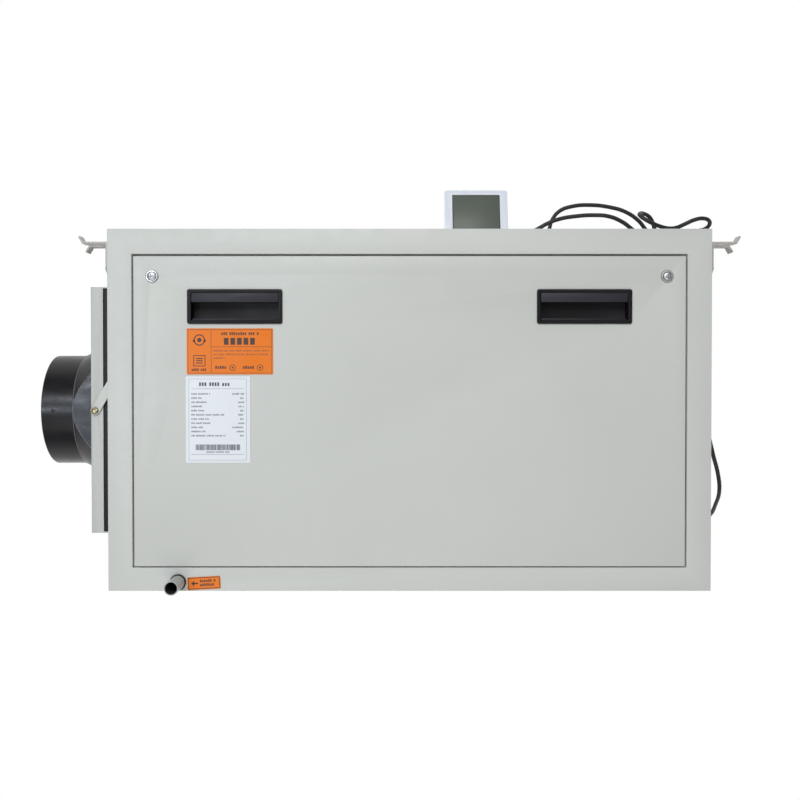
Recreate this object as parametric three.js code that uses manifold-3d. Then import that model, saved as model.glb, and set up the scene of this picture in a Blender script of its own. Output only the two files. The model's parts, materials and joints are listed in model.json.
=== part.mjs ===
// A ceiling-hung ducted dehumidifier with its wired controller.
// Millimetres, +Z up. Origin: centre of the cabinet's underside. The front looks along -Y,
// the filter box and inlet collar are on the left (-X), the air outlet is on the right (+X).
import * as THREE from "three";
import { mergeVertices } from "three/addons/utils/BufferGeometryUtils.js";
import Module from "manifold-3d";

const wasm = await Module();
wasm.setup();

// Driving dimensions.
const W = 350; // half width of the cabinet
const D = 210; // half depth
const H = 420; // height
const SHEET = 1.5; // sheet metal thickness
const GAP = 0.3; // clearance between neighbouring pieces
const PANEL = { half: 320, low: 28.4, high: 388.5, front: -209.6, fold: 10 };
const SEAM = { side: 2, top: 2.5, bottom: 1.4 }; // gaps around the access panel
const SCREW = { x: 298, z: 365 };
const HANDLE = { x: 202.3, z: 330, width: 110, height: 40 };
const HANDLE_HOLE = { halfWidth: 52.75, halfHeight: 18 };
const FILTER = { outer: -377, inner: -350.3, half: 185, low: 63.7, high: 355.2, flange: 14.3 };
const AXIS_Z = 206; // height of the inlet axis
const COLLAR = { outer: 73.5, bore: 70.5, rim: -478.3, shoulder: -436, lip: -402, cone: 95, facet: 74 };
const LATCH = { x: -371.6, z: 209, width: 10.4, angle: 59, end: -350.6, y: -188 };
const HANGER = { plate: 2.5, low: 365.6, top: 405.5, knee: 379.8, tab: 9.5, lean: 60, width: 40, slot: 12 };
const DRAIN = { x: -269, z: 10.2, outer: 8, bore: 7, front: -246 };
const FAN = { x: 120, z: 200, wheel: 80, throat: 90, growth: 48, low: -15, high: 115, cutoff: 31 };
const OUTLET = { low: 246, high: 338 };
const COMPRESSOR = { x: -120, y: -80, radius: 55, base: 30 };
const CONTROL = { x: 92.9, y: -10, z: H + 0.35, lean: 16, width: 86, plate: 13 };
const CABLE = { radius: 2.5, exit: [372, -60, 60], coil: [200, 90], coilMean: 30, coilTurns: [5, 4] };

// ---- geometry helpers ----

function block([x0, x1], [y0, y1], [z0, z1]) {
  const box = new THREE.BoxGeometry(x1 - x0, y1 - y0, z1 - z0);
  return box.translate((x0 + x1) / 2, (y0 + y1) / 2, (z0 + z1) / 2);
}

// Turns a shape made along +Z so that it runs along the named axis.
const TURN = {
  x: new THREE.Matrix4().makeRotationFromQuaternion(
    new THREE.Quaternion().setFromUnitVectors(new THREE.Vector3(0, 0, 1), new THREE.Vector3(1, 0, 0)),
  ),
  y: new THREE.Matrix4().makeRotationX(-Math.PI / 2),
  z: new THREE.Matrix4(),
};

// A profile of [radius, distance] pairs revolved about an axis through a point.
function revolved(profile, axis, centre, sides = 24) {
  const points = profile.map(([r, h]) => new THREE.Vector2(r, h));
  const lathe = new THREE.LatheGeometry(points, sides).rotateX(Math.PI / 2);
  return lathe.applyMatrix4(TURN[axis]).translate(...centre);
}

function rod(axis, centre, radius, from, to, sides = 24) {
  return revolved([[0, from], [radius, from], [radius, to], [0, to]], axis, centre, sides);
}

function ring(axis, centre, bore, outer, from, to, sides = 24) {
  const profile = [[bore, from], [outer, from], [outer, to], [bore, to], [bore, from]];
  return revolved(profile, axis, centre, sides);
}

// An outline of [x, z] pairs extruded from y0 to y1.
function profileAlongY(outline, y0, y1) {
  const shape = new THREE.Shape(outline.map(([x, z]) => new THREE.Vector2(x, z)));
  const solid = new THREE.ExtrudeGeometry(shape, { depth: y1 - y0, bevelEnabled: false, curveSegments: 8 });
  return solid.rotateX(Math.PI / 2).translate(0, y1, 0);
}

// A rounded rectangle in the XZ plane extruded from y0 to y1.
function roundedPlate([x0, x1], [z0, z1], [y0, y1], r) {
  const s = new THREE.Shape();
  s.moveTo(x0 + r, z0);
  s.absarc(x1 - r, z0 + r, r, -Math.PI / 2, 0);
  s.absarc(x1 - r, z1 - r, r, 0, Math.PI / 2);
  s.absarc(x0 + r, z1 - r, r, Math.PI / 2, Math.PI);
  s.absarc(x0 + r, z0 + r, r, Math.PI, Math.PI * 1.5);
  const solid = new THREE.ExtrudeGeometry(s, { depth: y1 - y0, bevelEnabled: false, curveSegments: 5 });
  return solid.rotateX(Math.PI / 2).translate(0, y1, 0);
}

// A tube of the given radius along a smooth curve through the points.
function tube(points, radius, steps, sides = 8) {
  const section = new THREE.Shape();
  section.absarc(0, 0, radius, 0, Math.PI * 2);
  const path = new THREE.CatmullRomCurve3(points.map((p) => new THREE.Vector3(...p)), false, "centripetal");
  const settings = { steps, extrudePath: path, curveSegments: sides / 2, bevelEnabled: false };
  return new THREE.ExtrudeGeometry(section, settings);
}

function toSolid(geometry) {
  const bare = geometry.index ? geometry.toNonIndexed() : geometry.clone();
  bare.deleteAttribute("normal");
  bare.deleteAttribute("uv");
  const merged = mergeVertices(bare, 1e-4);
  const triVerts = new Uint32Array(merged.index.array);
  const vertProperties = merged.attributes.position.array;
  return new wasm.Manifold(new wasm.Mesh({ numProp: 3, vertProperties, triVerts }));
}

function toGeometry(solid) {
  const mesh = solid.getMesh();
  const geometry = new THREE.BufferGeometry();
  geometry.setAttribute("position", new THREE.BufferAttribute(new Float32Array(mesh.vertProperties), 3));
  geometry.setIndex(new THREE.BufferAttribute(new Uint32Array(mesh.triVerts), 1));
  geometry.computeVertexNormals();
  return geometry;
}

function join(...pieces) {
  return toGeometry(pieces.map(toSolid).reduce((all, next) => all.add(next)));
}

function cut(body, ...tools) {
  return toGeometry(tools.map(toSolid).reduce((left, tool) => left.subtract(tool), toSolid(body)));
}

function common(a, b) {
  return toGeometry(toSolid(a).intersect(toSolid(b)));
}

// ---- materials ----

const finish = (color, roughness, metalness) =>
  new THREE.MeshStandardMaterial({ color, roughness, metalness });
const PAINT = finish(0xc6c8c3, 0.45, 0.1);
const GALVANISED = finish(0xb4b8ba, 0.4, 0.8);
const BLACK = finish(0x161718, 0.4, 0);
const CHROME = finish(0xd8d8d8, 0.15, 1);
const ZINC = finish(0xc8a45a, 0.35, 0.9);
const FOAM = finish(0x2a2b2c, 0.95, 0);
const RUBBER = finish(0x1c1c1c, 0.8, 0);
const LABEL_ORANGE = finish(0xf07d23, 0.5, 0);
const LABEL_WHITE = finish(0xe9edf0, 0.5, 0);
const PIPE_PLASTIC = finish(0xd5d6d2, 0.5, 0);
const FINS = finish(0xaab0b4, 0.4, 0.8);
const COPPER = finish(0xb87045, 0.35, 0.9);
const BLACK_STEEL = finish(0x202224, 0.5, 0.3);
const BOARD = finish(0x2f5e3a, 0.6, 0);
const CONTROL_WHITE = finish(0xeceff2, 0.4, 0);
const LCD = finish(0x8d9b8c, 0.2, 0);
const CABLE_BLACK = finish(0x111111, 0.6, 0);

const model = new THREE.Group();

function piece(name, geometry, material, parent = model) {
  const mesh = new THREE.Mesh(geometry, material);
  mesh.name = name;
  parent.add(mesh);
  return mesh;
}

// ---- cabinet ----

function frontFrame() {
  const face = -D + SHEET;
  const holeHalf = PANEL.half + SEAM.side;
  const hole = [PANEL.low - SEAM.bottom, PANEL.high + SEAM.top];
  const lipZ = [hole[0] + 14, hole[1] - 14];
  const skin = block([-W, W], [-D, face], [0, H]);
  const edge = [SHEET + GAP, H - SHEET - GAP];
  const side = W - SHEET - GAP;
  const fold = block([-side, side], [face - 0.5, face + 18], edge);
  const foldZ = [edge[0] + SHEET, edge[1] - SHEET];
  const foldBore = block([-side + SHEET, side - SHEET], [face, face + 19], foldZ);
  const rebateZ = [hole[0] - SHEET, hole[1] + SHEET];
  const rebate = block([-holeHalf - SHEET, holeHalf + SHEET], [face - 0.5, -196], rebateZ);
  const opening = block([-holeHalf, holeHalf], [-D - 1, -197.5], hole);
  const through = block([-holeHalf + 35, holeHalf - 35], [-D - 1, -195], lipZ);
  const screwHoles = [-1, 1].map((s) => rod("y", [s * SCREW.x, 0, SCREW.z], 3, -199, -195, 12));
  const drainHole = rod("y", [DRAIN.x, 0, DRAIN.z], 9, -D - 1, -189);
  const shell = join(skin, cut(fold, foldBore), rebate);
  piece("front_frame", cut(shell, opening, through, drainHole, ...screwHoles), PAINT);
}

function casing() {
  const back = -D + SHEET + GAP;
  piece("base_tray", block([-W, W], [back, D], [0, SHEET]), GALVANISED);
  piece("top_panel", block([-W, W], [back, D], [H - SHEET, H]), PAINT);
  const wallZ = [SHEET + GAP, H - SHEET - GAP];
  const rearFront = D - SHEET;
  const rear = [-W + SHEET + GAP, W - SHEET - GAP];
  piece("rear_panel", block(rear, [rearFront, D], wallZ), PAINT);
  const left = block([-W, -W + SHEET], [back, D], wallZ);
  const inlet = block([-W - 1, -W + SHEET + 1], [-178, 178], [72, 347]);
  piece("left_panel", cut(left, inlet), PAINT);
  const right = block([W - SHEET, W], [back, D], wallZ);
  const outlet = block([W - SHEET - 1, W + 1], [FAN.low, FAN.high], [OUTLET.low, OUTLET.high]);
  const cableHole = rod("x", [0, CABLE.exit[1], CABLE.exit[2]], 6.3, W - SHEET - 1, W + 1, 16);
  const mainsHole = rod("x", [0, -20, 60], 9, W - SHEET - 1, W + 1, 16);
  piece("right_panel", cut(right, outlet, cableHole, mainsHole), PAINT);
}

// One finger of a hanger: flat as far as the knee, then a tab leaning outwards, up (1) or down (-1).
function finger(from, way) {
  const { plate, top, knee, tab, lean } = HANGER;
  const middle = top - plate / 2;
  const slope = THREE.MathUtils.degToRad(lean);
  const run = [tab * Math.cos(slope), tab * Math.sin(slope)];
  const across = [plate * Math.sin(slope), plate * Math.cos(slope)];
  const inner = (plate / 2) * way;
  const kneeIn = knee - plate * Math.tan(slope / 2);
  const tip = [knee + run[0], middle - inner + run[1] * way];
  const outline = [
    [from, middle - inner], [knee, middle - inner], tip,
    [tip[0] - across[0], tip[1] + across[1] * way], [kneeIn, middle + inner], [from, middle + inner],
  ];
  return way > 0 ? outline : outline.reverse();
}

function hangers() {
  const { plate, low, top, width, slot } = HANGER;
  const x0 = W + GAP;
  const x1 = x0 + plate;
  const root = x1 + 9;
  const fingerWidth = (width - slot) / 2;
  const chamfer = 6;
  const leg = [[x0, low], [x1, low], [x1, top - plate], [root, top - plate], [root, top], [x0, top]];
  const corner = block([x0 - 1, x1 + 1], [-chamfer, chamfer], [-chamfer, chamfer]).rotateX(Math.PI / 4);
  const corners = [-207, 167].flatMap((near) => [near, near + width])
    .map((y) => corner.clone().translate(0, y, low));
  for (const [place, near] of [["front", -207], ["rear", 167]]) {
    const fingers = [
      profileAlongY(finger(root - 1, 1), near, near + fingerWidth),
      profileAlongY(finger(root - 1, -1), near + width - fingerWidth, near + width),
    ];
    const right = cut(join(profileAlongY(leg, near, near + width), ...fingers), ...corners);
    piece("hanger_" + place + "_right", right, PAINT);
    const mirror = new THREE.Matrix4().makeScale(-1, 1, 1);
    const left = right.clone().applyMatrix4(mirror);
    const index = left.index.array;
    for (let i = 0; i < index.length; i += 3) [index[i + 1], index[i + 2]] = [index[i + 2], index[i + 1]];
    left.computeVertexNormals();
    piece("hanger_" + place + "_left", left, PAINT);
  }
}

// ---- access panel ----

function accessPanel() {
  const { half, low, high, front, fold } = PANEL;
  const tray = block([-half, half], [front, front + fold], [low, high]);
  const inside = [
    [-half + SHEET, half - SHEET], [front + SHEET, front + fold + 1], [low + SHEET, high - SHEET],
  ];
  const windows = [-1, 1].map((s) =>
    block(
      [s * HANDLE.x - HANDLE_HOLE.halfWidth, s * HANDLE.x + HANDLE_HOLE.halfWidth],
      [front - 1, front + fold],
      [HANDLE.z - HANDLE_HOLE.halfHeight, HANDLE.z + HANDLE_HOLE.halfHeight],
    ),
  );
  const holes = [-1, 1].map((s) => rod("y", [s * SCREW.x, 0, SCREW.z], 3, front - 1, front + fold, 12));
  piece("access_panel", cut(tray, block(...inside), ...windows, ...holes), PAINT);

  const seal = [front + fold + GAP, front + fold + 1.8];
  const sealOuter = block([-half + 1, half - 1], seal, [low + 1, high - 1]);
  const sealInner = block([-half + 11, half - 11], [seal[0] - 1, seal[1] + 1], [low + 11, high - 11]);
  piece("panel_gasket", cut(sealOuter, sealInner), RUBBER);

  const foam = block([-288, 288], [front + SHEET + GAP, front + fold], [45, 373]);
  const foamHoles = [-1, 1].map((s) =>
    block(
      [s * HANDLE.x - 55, s * HANDLE.x + 55], [front, front + fold + 1], [HANDLE.z - 20, HANDLE.z + 20],
    ),
  );
  piece("panel_insulation", cut(foam, ...foamHoles), FOAM);
}

function pullHandle(name, x) {
  const { z, width, height } = HANDLE;
  const flangeBack = PANEL.front - GAP;
  const flangeFront = flangeBack - 2;
  const halfCup = HANDLE_HOLE.halfWidth - 0.5;
  const cupZ = [z - HANDLE_HOLE.halfHeight + 0.5, z + HANDLE_HOLE.halfHeight - 0.5];
  const flange = roundedPlate(
    [x - width / 2, x + width / 2], [z - height / 2, z + height / 2], [flangeFront, flangeBack], 2.5,
  );
  const cup = block([x - halfCup, x + halfCup], [flangeBack - 1, -192], cupZ);
  const pocket = block([x - halfCup + 1.5, x + halfCup - 1.5], [flangeFront - 1, -193.5], [z - 16, z + 16]);
  const lip = block([x - halfCup + 1, x + halfCup - 1], [-210.6, -208.6], [z + 5.5, z + 16.5]);
  piece(name, join(cut(join(flange, cup), pocket), lip), BLACK);
}

function panelScrew(name, x) {
  const head = PANEL.front - GAP;
  const profile = [[0, head - 3.2], [3.4, head - 2.8], [5.5, head - 1.2], [5.5, head], [2.4, head]];
  profile.push([2.4, -190], [0, -190]);
  piece(name, revolved(profile, "y", [x, 0, SCREW.z], 16), CHROME);
}

function label(name, centre, size, y, material, turn = 0) {
  const film = block([-size[0] / 2, size[0] / 2], [-0.3, 0], [-size[1] / 2, size[1] / 2]);
  const mesh = piece(name, film, material);
  mesh.position.set(centre[0], y, centre[1]);
  mesh.rotation.y = THREE.MathUtils.degToRad(-turn);
}

// ---- filter box, latch and inlet collar ----

function filterBox() {
  const { outer, inner, half, low, high, flange } = FILTER;
  const track = outer + flange;
  const roomZ = [low + SHEET, high - SHEET];
  const roomY = [-half + SHEET, half - SHEET];
  const box = block([outer, inner], [-half, half], [low, high]);
  const room = block([outer + SHEET, inner + 5], roomY, roomZ);
  const slot = block([track, inner + 5], [-half - 1, 0], roomZ);
  const port = rod("x", [0, 0, AXIS_Z], COLLAR.cone - 5, outer - 1, outer + 5, 32);
  const pivot = rod("y", [LATCH.x, 0, LATCH.z], 2.3, -half - 1, -half + 3, 12);
  const rails = [[roomZ[0] - 0.5, low + 12], [high - 12, roomZ[1] + 0.5]].map((z) =>
    block([track - SHEET, track], roomY, z),
  );
  piece("filter_frame", join(cut(box, room, slot, port, pivot), ...rails), PAINT);

  const tray = { x: [track + GAP, inner - 0.6], y: [-half + 1, half - 2], z: [low + 2, high - 2] };
  const rim = 14;
  const inY = [tray.y[0] + rim, tray.y[1] - rim];
  const inZ = [tray.z[0] + rim, tray.z[1] - rim];
  piece("filter_surround", cut(block(tray.x, tray.y, tray.z), block([track - 1, inner], inY, inZ)), BLACK);
  const mediaX = [tray.x[0] + 1.2, tray.x[1] - 1.2];
  const media = block(mediaX, [inY[0] + GAP, inY[1] - GAP], [inZ[0] + GAP, inZ[1] - GAP]);
  piece("filter_media", media, FOAM);
}

function latch() {
  const { x, z, width, angle, end, y } = LATCH;
  const slope = THREE.MathUtils.degToRad(angle);
  const strap = block([0, 60], [y, y + SHEET], [-width / 2, width / 2]).rotateY(-slope).translate(x, 0, z);
  const tail = rod("y", [x, 0, z], width / 2, y, y + SHEET, 24);
  const keep = block([x - 40, end], [y - 1, y + 3], [z - 40, z + 60]);
  const hole = rod("y", [x, 0, z], 2.5, y - 1, y + 3, 12);
  piece("latch_strap", cut(common(join(strap, tail), keep), hole), PAINT);
  const top = y - GAP;
  const profile = [[0, top - 2.6], [2.6, top - 2.4], [4.25, top - 1], [4.25, top], [1.9, top]];
  profile.push([1.9, -178], [0, -178]);
  piece("latch_screw", revolved(profile, "y", [x, 0, z], 16), ZINC);
}

function ductCollar() {
  const { outer, bore, rim, shoulder, lip, cone, facet } = COLLAR;
  const seat = FILTER.outer - GAP;
  const wall = outer - bore;
  const solid = revolved([[0, rim], [outer, rim], [outer, shoulder], [cone, lip], [cone, seat], [0, seat]],
    "x", [0, 0, AXIS_Z], 40);
  const inside = revolved([[0, shoulder], [bore, shoulder], [cone - wall, lip], [cone - wall, seat + 1],
    [0, seat + 1]], "x", [0, 0, AXIS_Z], 40);
  const slab = (half) => block([rim - 1, seat + 2], [-half, half], [AXIS_Z - 120, AXIS_Z + 120]);
  const throat = rod("x", [0, 0, AXIS_Z], bore, rim - 1, seat + 1, 40);
  const hollow = common(inside, slab(facet - wall));
  piece("duct_collar", cut(common(solid, slab(facet)), hollow, throat), BLACK);
}

// ---- drain ----

function drain() {
  const { x, z, outer, bore, front } = DRAIN;
  piece("drain_pipe", ring("y", [x, 0, z], bore, outer, front, -172.3, 24), PIPE_PLASTIC);
  const profile = [[8.3, -212.3], [9.4, -212.3], [9.4, -210.3], [8.7, -210.3], [8.7, -205], [8.3, -205]];
  profile.push([8.3, -212.3]);
  piece("drain_grommet", revolved(profile, "y", [x, 0, z], 24), BLACK);
  const pan = block([-342, -225], [-172, 172], [3, 28]);
  const well = block([-340.5, -226.5], [-170.5, 170.5], [4.5, 29]);
  const hole = rod("y", [x, 0, z], bore, -173, -170, 24);
  piece("drain_pan", cut(pan, well, hole), GALVANISED);
}

// ---- refrigeration ----

function coil(name, x) {
  const fins = block([x, x + 44], [-165, 165], [12, 320]);
  const ends = [[-166.5, -164.5], [164.5, 166.5]].map((y) => block([x, x + 44], y, [4.8, 323]));
  piece(name, join(fins, ...ends), FINS);
}

function compressor() {
  const { x, y, radius, base } = COMPRESSOR;
  const shell = revolved(
    [[0, base + 1], [48, base + 1], [radius, base + 16], [radius, 218], [46, 232], [16, 238], [0, 238]],
    "z", [x, y, 0], 24,
  );
  const foot = new THREE.CylinderGeometry(84, 84, 3, 3).rotateX(Math.PI / 2).translate(x, y, base + 1.5);
  piece("compressor", join(shell, foot), BLACK_STEEL);
  for (let i = 0; i < 3; i++) {
    const up = new THREE.Vector3(0, 0, 1);
    const corner = new THREE.Vector3(0, -66, 0).applyAxisAngle(up, (i * Math.PI * 2) / 3);
    const centre = [x + corner.x, y + corner.y, 0];
    piece("compressor_mount_" + (i + 1), rod("z", centre, 9, SHEET + GAP, base - GAP, 12), RUBBER);
  }
  const tank = [[0, 60], [18, 64], [22, 72], [22, 190], [18, 198], [0, 203]];
  piece("accumulator", revolved(tank, "z", [x + radius + 26, y, 0], 16), BLACK_STEEL);
}

function pipework() {
  const { x, y, radius } = COMPRESSOR;
  const tankX = x + radius + 26;
  piece("suction_pipe", tube([
    [-312, -167.6, 110], [-312, -176, 110.5], [-309, -184, 128], [-290, -186, 200], [-240, -186, 250],
    [-160, -170, 270], [-90, -135, 272], [tankX - 8, y - 10, 250], [tankX, y, 225], [tankX, y, 203.8],
  ], 6, 26), COPPER);
  piece("discharge_pipe", tube([
    [x, y, 238.5], [x, y, 258], [x - 10, y - 2, 285], [x - 40, y - 30, 330], [x - 100, y - 95, 350],
    [-248, -184, 344], [-256, -185, 318], [-256, -178, 305.5], [-256, -167.6, 305],
  ], 5, 26), COPPER);
  const dryer = [[0, 96], [4, 98], [5, 108], [11, 116], [11, 190], [5, 198], [4, 208], [0, 210]];
  piece("filter_drier", revolved(dryer, "z", [-205, -150, 0], 16), COPPER);
}

// ---- blower ----

function scroll(wall) {
  const points = [];
  const turns = 28;
  const sweep = FAN.cutoff + 270;
  for (let i = 0; i <= turns; i++) {
    const a = THREE.MathUtils.degToRad(FAN.cutoff - (sweep * i) / turns);
    const r = FAN.throat + (FAN.growth * i) / turns + wall;
    points.push([FAN.x + r * Math.cos(a), FAN.z + r * Math.sin(a)]);
  }
  const top = FAN.z + FAN.throat + FAN.growth + wall;
  const end = W - SHEET - GAP + (wall ? 0 : 2);
  points.push([end, top], [end, points[0][1] - 2 * wall]);
  return points;
}

function blower() {
  const { x, z, low, high, wheel } = FAN;
  const inside = profileAlongY(scroll(0), low + SHEET, high - SHEET);
  const eyes = rod("y", [x, 0, z], 66, low - 1, high + 1, 28);
  piece("blower_housing", cut(profileAlongY(scroll(SHEET), low, high), inside, eyes), GALVANISED);

  const y0 = low + 10;
  const y1 = high - 10;
  const rims = [[y0, y0 + 3], [y1 - 3, y1]]
    .map(([a, b]) => ring("y", [x, 0, z], wheel - 13, wheel, a, b, 28));
  const middle = (y0 + y1) / 2;
  const disc = rod("y", [x, 0, z], wheel, middle - 1.5, middle + 1.5, 28);
  const hub = rod("y", [x, 0, z], 14, middle - 12, middle + 12, 16);
  const blades = [];
  const count = 20;
  for (let i = 0; i < count; i++) {
    const blade = block([-6, 6], [y0 + 1, y1 - 1], [-0.8, 0.8]).rotateY(0.9).translate(wheel - 7.5, 0, 0);
    blades.push(blade.rotateY((i * Math.PI * 2) / count).translate(x, 0, z));
  }
  const bore = rod("y", [x, 0, z], 5.4, middle - 20, middle + 20, 16);
  piece("blower_wheel", cut(join(...rims, disc, hub, ...blades), bore), BLACK);

  const motor = revolved(
    [[0, -95], [36, -95], [41, -88], [41, -36], [34, -29], [5, -29], [5, middle + 10], [0, middle + 10]],
    "y", [x, 0, z], 20,
  );
  piece("blower_motor", motor, BLACK_STEEL);
  const upright = block([x - 45, x + 45], [-98.3, -95.3], [SHEET + GAP, z + 45]);
  const foot = block([x - 45, x + 45], [-97, -45], [SHEET + GAP, SHEET + GAP + 3]);
  piece("motor_bracket", join(upright, foot), GALVANISED);
}

function outlet() {
  const y = [FAN.low - 2, FAN.high + 2];
  const z = [OUTLET.low - 2, OUTLET.high + 2];
  const seat = W + GAP;
  const plate = block([seat, seat + SHEET], [y[0] - 26, y[1] + 26], [z[0] - 26, z[1] + 26]);
  const neck = block([seat, seat + 34], y, z);
  const bore = block(
    [seat - 1, seat + 40], [y[0] + SHEET, y[1] - SHEET], [z[0] + SHEET, z[1] - SHEET],
  );
  piece("outlet_flange", cut(join(plate, neck), bore), PAINT);
  const inY = [y[0] + SHEET + GAP, y[1] - SHEET - GAP];
  const inZ = [z[0] + SHEET + GAP, z[1] - SHEET - GAP];
  const x = [seat + 6, seat + 10];
  const throat = block([x[0] - 1, x[1] + 1], [inY[0] + 4, inY[1] - 4], [inZ[0] + 4, inZ[1] - 4]);
  const rim = cut(block(x, inY, inZ), throat);
  const bars = [];
  const count = 7;
  for (let i = 1; i <= count; i++) {
    const at = inZ[0] + ((inZ[1] - inZ[0]) * i) / (count + 1);
    bars.push(block([x[0] + 1, x[1] - 1], [inY[0] + 2, inY[1] - 2], [at - 1, at + 1]));
  }
  piece("outlet_guard", join(rim, ...bars), BLACK);
}

// ---- electrics ----

function electrics() {
  const x = [235, 340];
  const y = [-182, -70];
  const z = [110, 330];
  const box = block(x, [y[0] + 2, y[1]], z);
  const room = block([x[0] + SHEET, x[1] - SHEET], [y[0] - 1, y[1] - SHEET], [z[0] + SHEET, z[1] - SHEET]);
  piece("electrical_box", cut(box, room), GALVANISED);
  piece("electrical_box_cover", block(x, [y[0], y[0] + SHEET], z), GALVANISED);
  const board = block([x[0] + 8, x[1] - 8], [y[1] - 14, y[1] - 12.4], [z[0] + 15, z[1] - 15]);
  piece("control_board", board, BOARD);
}

function gland(name, y, z, radius, bore) {
  const inner = W - SHEET - 8;
  const out = W + GAP;
  const body = revolved(
    [[0, inner], [radius, inner], [radius, out], [radius + 3, out], [radius + 3, out + 7],
      [radius, out + 9], [bore + 1.5, out + 18], [0, out + 18]],
    "x", [0, y, z], 16,
  );
  const hole = rod("x", [0, y, z], bore, inner - 1, out + 20, 12);
  piece(name, bore ? cut(body, hole) : body, BLACK);
}

// ---- controller ----

function controller() {
  const stand = new THREE.Group();
  stand.position.set(CONTROL.x, CONTROL.y, CONTROL.z);
  stand.rotation.x = THREE.MathUtils.degToRad(-CONTROL.lean);
  model.add(stand);
  const half = CONTROL.width / 2;
  const front = -CONTROL.plate;
  const rear = { half: 35.5, low: 7.5, high: 78.5, depth: 26 };
  const housing = block([-rear.half, rear.half], [GAP, rear.depth], [rear.low, rear.high]);
  piece("controller_rear_housing", housing, CONTROL_WHITE, stand);

  const glass = { half: 32.5, low: 24, high: 79 };
  const keys = [-22.5, -7.5, 7.5, 22.5];
  const key = { half: 5.5, low: 9, high: 15.5, depth: 5 };
  const plate = roundedPlate([-half, half], [0, CONTROL.width], [front, 0], 3);
  const window = block([-glass.half, glass.half], [front - 1, front + 2], [glass.low, glass.high]);
  const slots = keys.map((x) =>
    block(
      [x - key.half - 0.4, x + key.half + 0.4], [front - 1, front + key.depth + 1.2],
      [key.low - 0.4, key.high + 0.4],
    ),
  );
  piece("controller_bezel", cut(plate, window, ...slots), CONTROL_WHITE, stand);
  const pane = block([-glass.half + GAP, glass.half - GAP], [front + 0.2, front + 1.7],
    [glass.low + GAP, glass.high - GAP]);
  piece("controller_display", pane, LCD, stand);
  keys.forEach((x, i) => {
    const cap = block([x - key.half, x + key.half], [front - 1, front + key.depth], [key.low, key.high]);
    piece("controller_key_" + (i + 1), cap, CONTROL_WHITE, stand);
  });
}

// ---- control cable ----

// From the gland up the right wall, over the top edge, and in three standing loops across the top.
const CABLE_RUN = [
  [368.8, -60, 60], [378, -60.5, 60.5], [386, -66, 63], [390, -82, 72], [389, -106, 88],
  [386.5, -128, 108], [382, -137, 128], [374, -141, 155], [366, -142, 190], [362, -141, 240],
  [361, -138, 300], [361, -128, 350], [361, -117, 385], [360, -109, 406], [356, -104.5, 419.5],
  [348, -102.5, 426.2], [339.5, -105.5, 425.2], [334.5, -114.5, 423], [338.5, -123.5, 422.9],
  [348, -127.5, 425.4], [359, -128.5, 430.4], [366.6, -130.8, 432.6], [369.8, -137, 436.8],
  [366.6, -143.4, 441], [358.5, -146, 442.8], [348.5, -146, 441], [337.5, -145, 436.2],
  [326.5, -145.5, 431.6], [316.5, -148.5, 430.4], [306, -152, 431.8], [296, -154.8, 435],
  [287, -155.5, 439.4], [281.3, -151.8, 444.6], [282, -144.3, 448.7], [288, -137.3, 450.3],
  [296.5, -132, 447.5], [302, -128.5, 441], [304.8, -127, 433.4], [309.5, -125.5, 426.4],
  [317.5, -121.5, 422.9], [322, -113, 422.9], [318.5, -104.2, 423.4], [309.5, -101.5, 428],
  [300.5, -103, 435.5], [290.4, -105, 446.8], [274, -105, 457.9], [252.4, -105, 464.2],
  [229.6, -105, 466.6], [206.8, -105, 465], [190, -105, 458.7], [180.6, -105.5, 447],
  [176.5, -107.5, 435], [169, -111, 426], [157, -115.5, 422.9], [145.5, -122.5, 422.9],
  [139.5, -135, 422.9], [144, -148, 423.6], [155, -155.5, 428], [168.3, -158, 435.1], [183, -158, 440.3],
  [202.3, -158, 443.4], [222.9, -158, 444.6], [241.1, -158, 443.2], [256.8, -157, 437.3],
  [269, -154, 429.5], [277.5, -147, 424.3], [280.5, -135, 422.9], [275, -121, 422.9], [263, -105, 422.9],
  [249, -88, 422.9], [237, -66, 422.9], [230, -42, 422.9], [228, -14, 422.9], [231, 18, 422.9],
  [236.5, 46, 422.9], [241.3, 70.9, 422.9],
];
// From the coil to the back of the controller.
const CABLE_TAIL = [
  [154.5, 90, 438], [153, 76, 435], [145, 62, 430], [131, 53, 427], [116, 48, 430], [103, 43, 439],
  [95, 37, 450], [92.9, 28.6, 456.7],
];

function controlCable() {
  piece("control_cable_run", tube(CABLE_RUN, CABLE.radius, 80), CABLE_BLACK);
  const [across, layers] = CABLE.coilTurns;
  const diameter = CABLE.radius * 2;
  const inner = CABLE.coilMean - (across * diameter) / 2;
  const outer = CABLE.coilMean + (across * diameter) / 2;
  const floor = H + GAP;
  const ringTop = floor + layers * diameter + 0.4;
  const coilRing = ring("z", [...CABLE.coil, 0], inner, outer, floor, ringTop, 28);
  piece("control_cable_coil", coilRing, CABLE_BLACK);
  piece("control_cable_tail", tube(CABLE_TAIL, CABLE.radius, 12), CABLE_BLACK);
}

frontFrame();
casing();
hangers();
accessPanel();
pullHandle("pull_handle_left", -HANDLE.x);
pullHandle("pull_handle_right", HANDLE.x);
panelScrew("panel_screw_left", -SCREW.x);
panelScrew("panel_screw_right", SCREW.x);
label("refrigerant_label", [-208.1, 278.2], [100, 53.3], PANEL.front - GAP, LABEL_ORANGE);
label("data_label", [-222, 199.2], [74.7, 100.3], PANEL.front - GAP, LABEL_WHITE);
label("drain_label", [-238.8, 9.3], [38.4, 14.8], -D - GAP, LABEL_ORANGE, 3);
filterBox();
latch();
ductCollar();
drain();
coil("evaporator_coil", -334);
coil("condenser_coil", -276);
compressor();
pipework();
blower();
outlet();
electrics();
gland("control_cable_gland", CABLE.exit[1], CABLE.exit[2], 6, 2.9);
gland("mains_gland", -20, 60, 8.5, 4);
controller();
controlCable();

export default model;
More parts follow.
